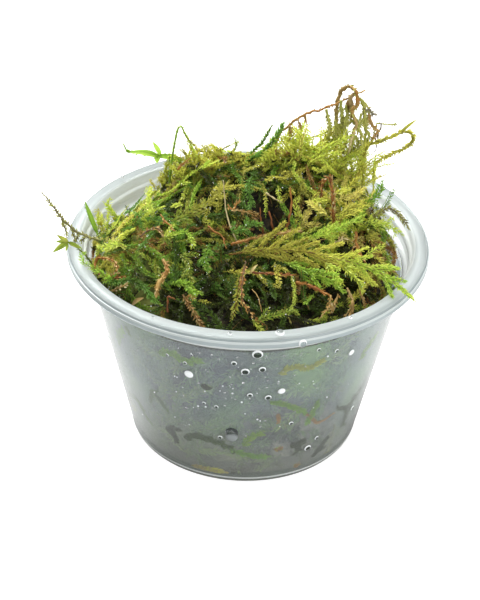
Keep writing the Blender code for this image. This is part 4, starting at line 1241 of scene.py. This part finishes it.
UPRIGHT = [(18, -6.5, 54), (17.5, -4, 60), (17, -1, 63)]
UPRIGHT_HOOK = [(17.4, -1.5, 61.5), (17, -1, 63), (16, -1, 63.5), (15, -1, 61.5), (15, -1, 58)]
YELLOW_LEFT = [(15, -3.5, 56), (14.3, -3.5, 58), (12.3, -3, 58.7)]
YELLOW_RIGHT = [(20, -3, 56.5), (22, -2, 59.5), (24.5, 0, 60.7)]
YELLOW_TOP = [(19.5, 0.5, 57.5), (21.5, 1.5, 60.5), (23.5, 3, 61.5)]
FERN = [(22.3, -4, 55.5), (24.5, -3, 58.5), (27, -1.5, 60), (28, 0.5, 62)]
SMALL_RIGHT = [(28, 4.5, 51.5), (30, 6, 54), (31, 7, 56.5)]
PALE_RIGHT = [(22.5, -5, 52.5), (25.5, -4.5, 54.7), (29.5, -3, 53.5), (33, -2, 50.5)]
DARK_TWIG = [(26, 0, 53), (29.5, 1, 55.2), (32, 0.5, 54), (34.3, 0, 51)]
LOW_ROOT = [(21.5, -23.5, 47.5), (21.5, -24.5, 46), (20.5, -26.5, 44.3)]

stalk("brown_upright", [UPRIGHT, UPRIGHT_HOOK], 0.3, (0.3, 0.38, 0.3), 111, leaves=(1.0, 0.52, 1.1),
      mixed=0.12, knotty=0.4)
sprig("yellow_shoot_left", YELLOW_LEFT, YELLOW, 1.15, 113)
sprig("yellow_shoot_right", YELLOW_RIGHT, (0.95, 0.97), 1.15, 115)
sprig("yellow_shoot_top", YELLOW_TOP, (0.55, 0.53), 1.1, 117)
sprig("fern_shoot", FERN, (0.36, 0.3, 0.28), 1.4, 119, ranks=3, flat=0.9)
sprig("small_shoot_right", SMALL_RIGHT, GREEN, 0.8, 121, twigs=2, twig_length=2.5)
sprig("pale_shoot_right", PALE_RIGHT, 0.63, 1.0, 123, twigs=4, twig_length=3.5)
stalk("dark_twig", [DARK_TWIG], 0.22, (0.9, GREYISH, 0.9), 125, leaves=(0.9, 0.9, 1.2))
stalk("low_root", [LOW_ROOT], 0.35, TAN, 127, leaves=(0.5, TAN, 0.9))

# ==== the shoots that lie on top =======================================================
# The shoots and dead stems that can be told apart one by one on top of the heap. They lie
# loose over the others, a few millimetres high, with their feet tucked in between them.

TOP_SHOOTS = (
    # tones from foot to tip, size, side shoots, points from foot to tip
    ((0.36, OLIVE, 0.5), 1.1, 12,
     ((-17, -7, 55.5), (-14.5, -6.5, 56), (-10.5, -4.5, 57.5), (-7, -2, 59), (-4.5, 0.5, 61))),
    (BLUISH, 1.0, 2, ((0.5, 1.5, 62), (-0.5, -0.5, 60), (1, -3, 57.5))),
    ((GREEN, FRESH), 0.6, 0, ((1, 1.5, 60), (2, 0.5, 61), (3, -0.5, 60.5), (3.5, -3, 59), (3.5, -5, 56))),
    (LIME, 0.8, 0, ((6, -0.5, 61), (6.5, -2, 58))),
    (0.25, 1.0, 4, ((-3.5, -9.5, 54.5), (-1, -8, 55), (1.5, -7, 56))),
    ((LIME, FRESH, LIME), 0.9, 2,
     ((-17.5, -11.5, 54), (-16, -11, 54.5), (-14, -10.5, 55), (-12.5, -11, 55), (-11, -14, 54))),
    (LIME, 0.9, 2, ((-20, -5.5, 55.5), (-21, -3, 57), (-21.5, 0.5, 58))),
    (LIME, 0.8, 2, ((-20.5, -2.5, 55), (-22, 3.5, 57.5))),
    ((0.64, LIME), 1.0, 3, ((-26, -11.5, 52.5), (-28.5, -10.5, 51.5), (-32, -7, 48.5))),
    ((GREEN, DEEP, GREEN), 1.1, 3,
     ((-30, -16.5, 46), (-27.5, -18.5, 47.5), (-24, -20, 49), (-21, -22.5, 49), (-19.5, -25, 48),
      (-17.5, -26.5, 47.5))),
    (FRESH, 0.9, 1, ((-12.5, -24.5, 51), (-10.5, -28, 50))),
    ((0.81, 0.83, 0.81), 0.9, 2, ((-13, -26.5, 50), (-11.5, -29, 49), (-10, -31, 47.5), (-8.5, -32.5, 46))),
    ((0.45, 0.5, 0.5), 0.9, 1, ((5.5, -19, 53.5), (6, -22, 52.5), (6.5, -25, 52))),
    ((LIME, 0.64, LIME), 1.1, 2, ((16, -17, 52.5), (17.5, -19.5, 51.5), (19.5, -21.5, 50))),
    (LIME, 1.1, 2, ((20, -18, 52), (22, -19.5, 50.5), (24, -19.5, 49))),
    (LIME, 0.6, 0, ((9, -20.5, 51.5), (9.5, -24, 50.5), (9.5, -27, 49.5), (8.5, -29.5, 48))),
    (FRESH, 0.6, 0, ((13.5, -24.5, 49.5), (11.5, -27.5, 49))),
    (0.36, 1.0, 2, ((1.5, -32, 47.5), (4.5, -31, 48), (7.5, -30, 48.5), (10, -29, 48.5))),
    ((GREEN, 0.36), 0.7, 0, ((-17.5, 12, 60.5), (-17.5, 12, 58), (-18, 12, 55), (-19, 12, 52.5))),
    ((OLIVE, GOLDEN, OLIVE), 0.75, 0,
     ((-14.5, 11, 67), (-13, 11, 65), (-11.5, 11, 63), (-11, 11, 60), (-12.5, 11, 56))),
    (GOLDEN, 0.8, 0, ((-14, 10.5, 62.5), (-12.5, 10.5, 59.5), (-12, 10.5, 56))),
    (LIME, 0.9, 2, ((-30, -2.5, 50), (-30, -1.5, 53))),
    (LIME, 0.9, 1, ((-32.5, 3, 47), (-32.5, 3, 51))),
    (GREEN, 0.7, 0, ((-31, 6, 45), (-30.5, 6, 48.5))),
    (YELLOW, 0.9, 0, ((-20.5, 10, 53.5), (-21.5, 10, 55.5))),
    ((0.66, LIME), 0.8, 0, ((-27.5, 7, 46.5), (-29.5, 7, 49), (-31.5, 7, 51.5))),
    (OLIVE, 1.0, 3, ((27, -1, 52), (29, -3, 51.5), (31, -6, 49.5))),
    (OLIVE, 1.0, 4, ((-30, -6, 47), (-31, -9, 46.5), (-31, -13, 45.5))),
    (GOLDEN, 0.9, 4, ((-29, -8, 48.5), (-29.5, -12, 47.5), (-28.5, -15, 47))),
    (GREEN, 1.0, 4, ((-31.5, -4, 46), (-32, -8, 45.5), (-31.5, -11, 45))),
    (RUST, 0.9, 2, ((30, -3, 50), (31, -6, 49), (31, -9, 47.5))),
    ((GREEN, OLIVE), 1.0, 3, ((28, -8, 50.5), (29.5, -10.5, 49.5), (30, -13, 48))),
    (GOLDEN, 0.9, 2, ((26, -10, 50.5), (28, -12, 50), (29, -14.5, 48.5))),
    (GREEN, 1.0, 3, ((-8, -13, 54), (-9, -17, 53), (-8, -21, 52))),
    (YELLOW, 1.1, 0, ((16.5, -6.5, 57.5), (14.5, -5.5, 58.5), (12.5, -4.5, 59.5))),
    ((0.56, 0.6), 1.0, 0, ((17, -3.5, 59.5), (15.5, -3.5, 59.5), (13.5, -4, 59.5))),
    (0.55, 1.0, 0, ((17.5, -2, 60), (19.5, -2, 61), (21, -1, 61))),
    (0.95, 1.1, 0, ((18, -3.5, 59.5), (21, -2.5, 60), (22.5, -1.5, 60), (24, 0, 60.5))),
    ((0.53, 0.5), 1.1, 0,
     ((18.5, -6, 57.5), (21.5, -4.5, 58.5), (24.5, -3, 59), (26, -1, 59.5), (27, 2, 59))),
    ((0.5, 0.56), 1.0, 0, ((18.5, -7, 56.5), (20.5, -6, 57.5), (22.5, -5.5, 58), (25.5, -3, 58.5))),
    (OLIVE, 1.0, 3, ((24.5, -6, 54), (26.5, -6.5, 53), (28, -8, 51))),
    ((RUST, 0.82), 0.9, 3, ((25.5, -8, 52.5), (27, -9.5, 51), (27.5, -11, 50))),
    (GREEN, 1.0, 2, ((28, -2.5, 53.5), (28.5, -5, 52), (28.5, -8, 51))),
    (0.45, 0.9, 2, ((24.5, -7.5, 53.5), (26, -8, 52.5), (27.5, -7, 52.5))),
    (0.37, 1.0, 3, ((-14, -16, 53), (-12, -19, 52.5), (-12, -22, 51.5))),
)
TOP_BLADES = (
    # tone, width, foot, tip
    (0.84, 1.0, (-23.5, -24, 45.5), (-21, -25, 48)),
    (LIME, 0.9, (28, -13.5, 48.5), (29.5, -12, 49.5)),
    (STRAW, 0.6, (0.5, -22, 52.5), (2, -20, 53.5)),
)
top_moss = Bundle()
draw = np.random.default_rng(141)
for tone, size, twigs, places in TOP_SHOOTS:
    x, y, _ = places[len(places) // 2]
    face = unit(top_normal(x, y) + np.array((0, -0.3, 0.2)) + draw.normal(0, 0.1, 3))
    add_shoot(top_moss, places, face, draw, tone, size, twigs=twigs, twig_length=3.6 * size, ranks=4)
blade_face = unit(np.array((-0.2, -0.6, 0.8)))
for tone, width, foot, tip in TOP_BLADES:
    add_blade(top_moss, foot, tip, width, blade_face, tone)
top_moss.piece("moss_top_shoots", moss_leaf, "moss_green", "moss_heap")

TOP_STEMS = (
    # tone, radius, tone of the dead leaves or None, points
    (ORANGE, 0.35, TAN,
     ((-32, -12, 46.5), (-32, -10.5, 47.5), (-31, -11, 48.5), (-29, -13, 49.5), (-28, -14.5, 50),
      (-27, -16.5, 49.5), (-28, -16.5, 48))),
    (TAN, 0.3, PALE, ((-30, -16, 45.5), (-28.5, -16.5, 47.5), (-26.5, -17.5, 49))),
    (TAN, 0.25, PALE, ((-28, -19.5, 46), (-26.5, -20, 47), (-24.5, -20.5, 48.5))),
    (ORANGE, 0.32, TAN, ((22.5, -8, 54.5), (22.5, -10, 53.5), (23, -12, 52), (24.5, -13.5, 50.5))),
    (ORANGE, 0.22, TAN, ((22.5, -10, 53), (21.5, -11.5, 52))),
    (PALE, 0.2, PALE, ((18, -11.5, 54), (19.5, -11, 54.5), (20.5, -10.5, 54.5))),
    (RUDDY, 0.3, ORANGE, ((-31.5, -13, 46), (-28.5, -17, 47.5), (-25, -19, 49))),
    (RUDDY, 0.28, None, ((-16, -28.5, 47), (-16, -27.5, 48.5), (-16, -26.5, 49.5), (-14.5, -27.5, 49.5))),
    (ORANGE, 0.25, TAN, ((-4.5, -3, 57.5), (-3.5, -4, 57), (-2.5, -3, 58), (-2, -2.5, 58.5))),
    (TAN, 0.25, TAN, ((-3.5, -4, 57), (-0.5, -4, 56.5), (2, -4.5, 56.5))),
    (BROWN, 0.25, TAN,
     ((-22.5, -11, 54), (-21, -9.5, 54.5), (-19.5, -9, 55), (-18.5, -9.5, 55), (-17.5, -11, 54))),
    (ORANGE, 0.28, TAN, ((-18.5, -6, 56.5), (-17, -8, 55.5), (-15.5, -10, 55))),
    (0.4, 0.22, None, ((-8.5, -8.5, 55.5), (-7, -10, 55), (-5.5, -11, 54.5), (-4.5, -14, 53.5))),
    (PALE, 0.22, None, ((3.5, -2, 60), (7, -2.5, 58))),
    (RUDDY, 0.3, ORANGE, ((0.5, -21.5, 52.5), (4.5, -21, 52), (9.5, -20.5, 51.5))),
    ((BROWN, 0.26, BROWN), 0.2, 0.5,
     ((-0.5, -18, 53), (-1, -23.5, 52), (-1, -28, 50.5), (0.5, -30.5, 49), (4, -32.5, 46.5))),
    (TAN, 0.15, None, ((1, -25.5, 51), (2.5, -28.5, 50.5), (3, -30.5, 49))),
    (TAN, 0.25, TAN, ((17, -24, 49), (16.5, -26.5, 47.5), (15, -28, 46.5))),
    (TAN, 0.25, TAN, ((18.5, -22.5, 48.5), (18, -24.5, 47.5), (17, -26.5, 46.5))),
    (0.6, 0.3, TAN, ((20.5, -21, 49), (21.5, -23, 46.5), (20, -26, 45))),
    (TAN, 0.25, TAN, ((23, -20, 48), (24, -21, 46), (24.5, -21.5, 44.5))),
    (TAN, 0.28, TAN, ((28.5, -11.5, 49), (30, -11.5, 47.5), (31.5, -10.5, 46))),
    (ORANGE, 0.3, TAN, ((-15.5, 7, 60), (-13, 7.5, 62.5))),
    (TAN, 0.22, None, ((12, -13, 53.5), (14, -12, 54.5), (16, -11, 54.5))),
)
top_stems = Bundle()
stem_face = np.array((0.1, -0.6, 0.8))
for tone, radius, leaf_tone, places in TOP_STEMS:
    path = add_stalk(top_stems, places, radius * 0.8, tone, draw, knotty=0.35, end_share=0.4)
    if leaf_tone:
        add_leaves(top_stems, path, stem_face, draw, leaf_tone, 0.9, 0.45, thin=0.5, lean=0.6, spread=0.04)
top_stems.piece("dry_top_stems", dry_stem, "moss_dry", "moss_heap")

# ==== the water ========================================================================
# Drops that cling to the outside of the wall and to the rim, with many small ones, and fine beads on the
# leaves. Each is a low dome or a round bead of water, clear or partly glowing. The drops' edges, a few whole
# drops, and some specks and beads glow white as painted highlights, and most wall drops have a middle dimmed
# as painted shade. A thin mist lies on the inside of the wall.

WALL_DROPS = (
    # angle in degrees, height, half width
    (-86, 41.0, 1.15), (-90, 35.9, 0.9), (-84, 36.5, 0.75), (-111, 32.9, 1.0), (-94, 38.2, 0.6),
    (-81, 27.9, 0.7), (-88, 28.8, 0.6), (-76, 29.5, 0.8), (-48, 35.3, 0.75), (-56, 37.9, 0.5),
    (-64, 40.0, 0.45), (-101, 24.5, 0.45), (-106, 25.0, 0.4), (-100, 15.0, 0.5), (-95, 17.0, 1.4),
    (-70, 18.8, 0.5), (-59, 9.0, 0.8), (-55, 11.3, 0.5), (-33, 14.2, 0.6), (-112, 36.0, 0.4),
    (-109, 38.8, 0.3), (-119, 36.8, 0.35), (35, 30, 0.9), (80, 36, 0.8), (120, 22, 1.0), (170, 33, 0.8),
    (188, 24, 0.9),
)
GLOWING_WHITE_DROPS = (3, 7, 8)
WIDE_DROP = 14
RIM_DROPS = (
    # angle in degrees, distance out, height, half width
    (-79.8, 37.4, 48.1, 1.25), (-73.3, 39.0, 46.2, 1.1), (-95, 37.6, 48.1, 0.7), (-56, 37.2, 48.15, 0.6),
    (-120, 37.4, 48.1, 0.5), (60, 37.3, 48.1, 0.8), (140, 37.5, 48.1, 0.6),
)
# Farther out than this a drop on the rim hangs on its side, and the others sit on its crest.
RIM_SIDE_FROM = 38
# These shares of the specks and the beads glow white as painted glints.
SPECKS, GLINT_SPECKS = 190, 0.3
BEADS, GLINT_BEADS = 1300, 0.22
# The rings of points of a large dome and of the wide drop's foot, as lifts in degrees, and how
# many points a ring has. Up to one lift a dome is edge, and over that it is middle.
LARGE_RINGS, FOOT_RINGS, EDGE_TO = (0, 12, 24, 42, 60, 78), (0, 24, 48, 70), 30
LARGE_SIDES, SMALL_SIDES = 20, 8
WALL_LEAN = math.tan(math.radians(12.3))
# The finishes: clear water, a white glow that paints highlights, cloudy water, and water dimmed as painted
# shade.
CLEAR, GLOWING_HIGHLIGHT, CLOUDY, DIMMED_SHADE = range(4)
WATERS = (
    # in the order of their numbers: name, colour, how rough and how clear, and how much it glows
    ("clear_water", (1, 1, 1, 1), 0.0, 1.0, 0.0),
    ("water_edge_painted_highlight", (0.68, 0.71, 0.71, 1), 0.1, 0.0, 0.22),
    ("cloudy_water", (0.46, 0.5, 0.5, 1), 0.3, 0.45, 0.0),
    ("water_painted_shade", (0.3, 0.34, 0.3, 1), 0.0, 1.0, 0.0),
)


def on_outside(angle, height, gap=0.05):
    """A point on the outside of the wall, at an angle in radians, and the way out there."""
    radius = BASE_RADIUS + (height - BASE_CORNER) * WALL_SLOPE + gap
    ahead, aside = math.cos(angle), math.sin(angle)
    return (radius * ahead, radius * aside, height), (ahead, aside, -WALL_LEAN)


def dome(drop, place, out, half_width, rise, sides, lifts, edge=CLEAR, middle=CLEAR):
    """A closed dome of water on a surface, with rings of points at the given lifts in degrees. A large one's
    steep edge gathers the light, so that it has a finish of its own, a glowing painted highlight, and its
    middle may be dimmed as painted shade."""
    points, faces, finishes = drop
    out = Vector(out).normalized()
    side = out.orthogonal().normalized()
    other = out.cross(side)
    first = len(points)
    for degrees in lifts:
        lift = math.radians(degrees)
        for turn in range(sides):
            spin = 2 * math.pi * turn / sides
            flat = side * math.cos(spin) + other * math.sin(spin)
            points.append(Vector(place) + flat * half_width * math.cos(lift) + out * rise * math.sin(lift))
    points += [Vector(place) + out * rise, Vector(place) - out * 0.02]
    top, low = len(points) - 2, len(points) - 1
    for turn in range(sides):
        here, there = first + turn, first + (turn + 1) % sides
        for ring, degrees in enumerate(lifts[:-1]):
            up = ring * sides
            faces.append((here + up, there + up, there + up + sides, here + up + sides))
            finishes.append(edge if degrees < EDGE_TO else middle)
        up = (len(lifts) - 1) * sides
        faces += [(here + up, there + up, top), (there, here, low)]
        finishes += [middle, middle]


draw = np.random.default_rng(77)
drop = ([], [], [])
for number, (turn, height, half_width) in enumerate(WALL_DROPS):
    spot, out = on_outside(math.radians(turn), height)
    # A wall drop's edge glows as a painted highlight, and its middle either glows too or is dimmed as painted
    # shade.
    edge, middle = (GLOWING_HIGHLIGHT, GLOWING_HIGHLIGHT if number in GLOWING_WHITE_DROPS else DIMMED_SHADE)
    if number == WIDE_DROP:
        edge, middle = CLEAR, CLEAR
    dome(drop, spot, out, half_width, half_width * 0.36, LARGE_SIDES, LARGE_RINGS, edge, middle)
# The wide drop has run down a little and left a cloudy foot.
turn, height, half_width = WALL_DROPS[WIDE_DROP]
spot, out = on_outside(math.radians(turn), height - half_width, 0.12)
dome(drop, spot, out, half_width * 0.95, 0.5, LARGE_SIDES, FOOT_RINGS, CLOUDY, CLOUDY)
for turn, radius, height, half_width in RIM_DROPS:
    angle = math.radians(turn)
    hangs = radius > RIM_SIDE_FROM
    out = (math.cos(angle) * hangs, math.sin(angle) * hangs, not hangs)
    spot = (radius * math.cos(angle), radius * math.sin(angle), height + 0.08)
    dome(drop, spot, out, half_width * 0.8, half_width * 0.6, LARGE_SIDES, LARGE_RINGS, GLOWING_HIGHLIGHT)
for _ in range(SPECKS):
    angle = math.radians(draw.normal(-88, 22)) if draw.random() < 0.75 else draw.uniform(0, 2 * math.pi)
    spot, out = on_outside(angle, float(np.clip(draw.normal(29, 8), 8, 40)))
    size = draw.uniform(0.08, 0.24)
    finish = GLOWING_HIGHLIGHT if draw.random() < GLINT_SPECKS else CLEAR
    dome(drop, spot, out, size, size * 0.7, SMALL_SIDES, (0, 45), finish, finish)
leafy = np.concatenate(upper_moss.points + top_moss.points)
for spot in leafy[draw.integers(0, len(leafy), BEADS)]:
    size = draw.uniform(0.07, 0.15)
    finish = GLOWING_HIGHLIGHT if draw.random() < GLINT_BEADS else CLEAR
    dome(drop, spot, top_normal(spot[0], spot[1]), size, size, SMALL_SIDES, (0, 40), finish, finish)

points, faces, finishes = drop
drops = smooth_object("water_drops", points, faces)
drops.data.polygons.foreach_set("material_index", finishes)
for name, colour, rough, clear, glow in WATERS:
    values = {"Base Color": colour, "Roughness": rough, "IOR": 1.33, "Transmission Weight": clear}
    values.update({"Emission Color": (1, 1, 1, 1), "Emission Strength": glow})
    drops.data.materials.append(new_finish(name, values)[0])
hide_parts("cup")
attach(drops, "root")

# The mist: droplets too fine to tell apart, that dim the inside of the wall in clouds. It is
# denser where the wall is seen aslant, brown with silt at its foot, and greenish in patches.
MIST_TURNS, MIST_RISE, MIST_GAP = 144, 30, 0.2
heights = np.linspace(41.1, 3.4, MIST_RISE)
outs = BASE_RADIUS - WALL + (heights - BASE_CORNER) * WALL_SLOPE - MIST_GAP
points = around(outs, heights, MIST_TURNS)
mist = smooth_object("wall_mist", points, round_faces(MIST_TURNS, MIST_RISE, poles=False))
fog, tree, skin = new_finish("fine_mist", {"Roughness": 0.7})
place, cloud = cloud_noise(tree, 50.0, 5.0, noise_dimensions="4D")
cloud.inputs["W"].default_value = 2.0
dense = ranged(tree, cloud.outputs["Fac"], 0.34, 0.66, 0.14, 0.41)
deeper = ranged(tree, add_node(tree, "LayerWeight").outputs["Facing"], 0.55, 0.95, 0.0, 0.65)
tree.links.new(combined(tree, "ADD", dense, deeper), skin.inputs["Alpha"])
algae = ranged(tree, cloud.outputs["Fac"], 0.45, 0.6)
green = mixed_colour(tree, algae, (0.5, 0.57, 0.7), (0.49, 0.7, 0.47))
level = add_node(tree, "SeparateXYZ", (), {0: place}).outputs["Z"]
tint = mixed_colour(tree, ranged(tree, level, 0.004, 0.024), (0.36, 0.33, 0.29), green)
tree.links.new(mixed_colour(tree, deeper, tint, (0.33, 0.37, 0.36)), skin.inputs["Base Color"])
mist.data.materials.append(fog)
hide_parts("cup")
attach(mist, "root")

# ==== the stage ========================================================================
# A plain pale floor, soft light from all sides, a large lamp high up behind the cup to the
# left, a weaker one low at the front right, and the camera, which looks down by 33 degrees.

bpy.ops.mesh.primitive_plane_add(size=4.0)
floor = bpy.context.object
floor.name = "floor"
values = {"Base Color": (0.45, 0.45, 0.45, 1), "Roughness": 0.9, "Emission Color": (1, 1, 1, 1)}
paper, tree, skin = new_finish("white_paper", values)
seen = add_node(tree, "LightPath").outputs["Is Camera Ray"]
tree.links.new(ranged(tree, seen, 0.0, 1.0, 0.08, 0.85), skin.inputs["Emission Strength"])
floor.data.materials.append(paper)
floor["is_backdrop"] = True

world = bpy.data.worlds.new("studio")
bpy.context.scene.world = world
world.use_nodes = True
sky = world.node_tree.nodes["Background"]
sky.inputs["Color"].default_value = (1, 1, 1, 1)
sky.inputs["Strength"].default_value = 0.68


def lamp(name, place, aim, size, power):
    """A square softbox that faces a point, all in millimetres and watts."""
    light = bpy.data.lights.new(name, "AREA")
    light.size = size * MM
    light.energy = power
    made = bpy.data.objects.new(name, light)
    made.location = Vector(place) * MM
    made.rotation_euler = (Vector(aim) - Vector(place)).to_track_quat("-Z", "Y").to_euler()
    bpy.context.scene.collection.objects.link(made)


lamp("key", (-110, 250, 400), (0, 0, 45), 240, 4.6)
lamp("fill", (260, -340, 110), (0, 0, 25), 200, 0.95)

CAMERA_DISTANCE = 390.0
CAMERA_HEIGHT_ANGLE = 33.37
CAMERA_ROLL = 1.38
CAMERA_LENS = 106.27
AIM = Vector((-1.43, 0.0, 31.58))
camera = bpy.data.objects.new("camera", bpy.data.cameras.new("camera"))
bpy.context.scene.collection.objects.link(camera)
camera.data.sensor_width = 36.0
camera.data.lens = CAMERA_LENS
lift = math.radians(CAMERA_HEIGHT_ANGLE)
away = Vector((0.0, -math.cos(lift), math.sin(lift)))
camera.matrix_world = (
    Matrix.Translation((AIM + away * CAMERA_DISTANCE) * MM)
    @ (-away).to_track_quat("-Z", "Y").to_matrix().to_4x4()
    @ Matrix.Rotation(math.radians(CAMERA_ROLL), 4, "Z")
)
camera.data.clip_start = 0.01
bpy.context.scene.camera = camera
bpy.context.scene.view_settings.view_transform = "Standard"

low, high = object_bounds()
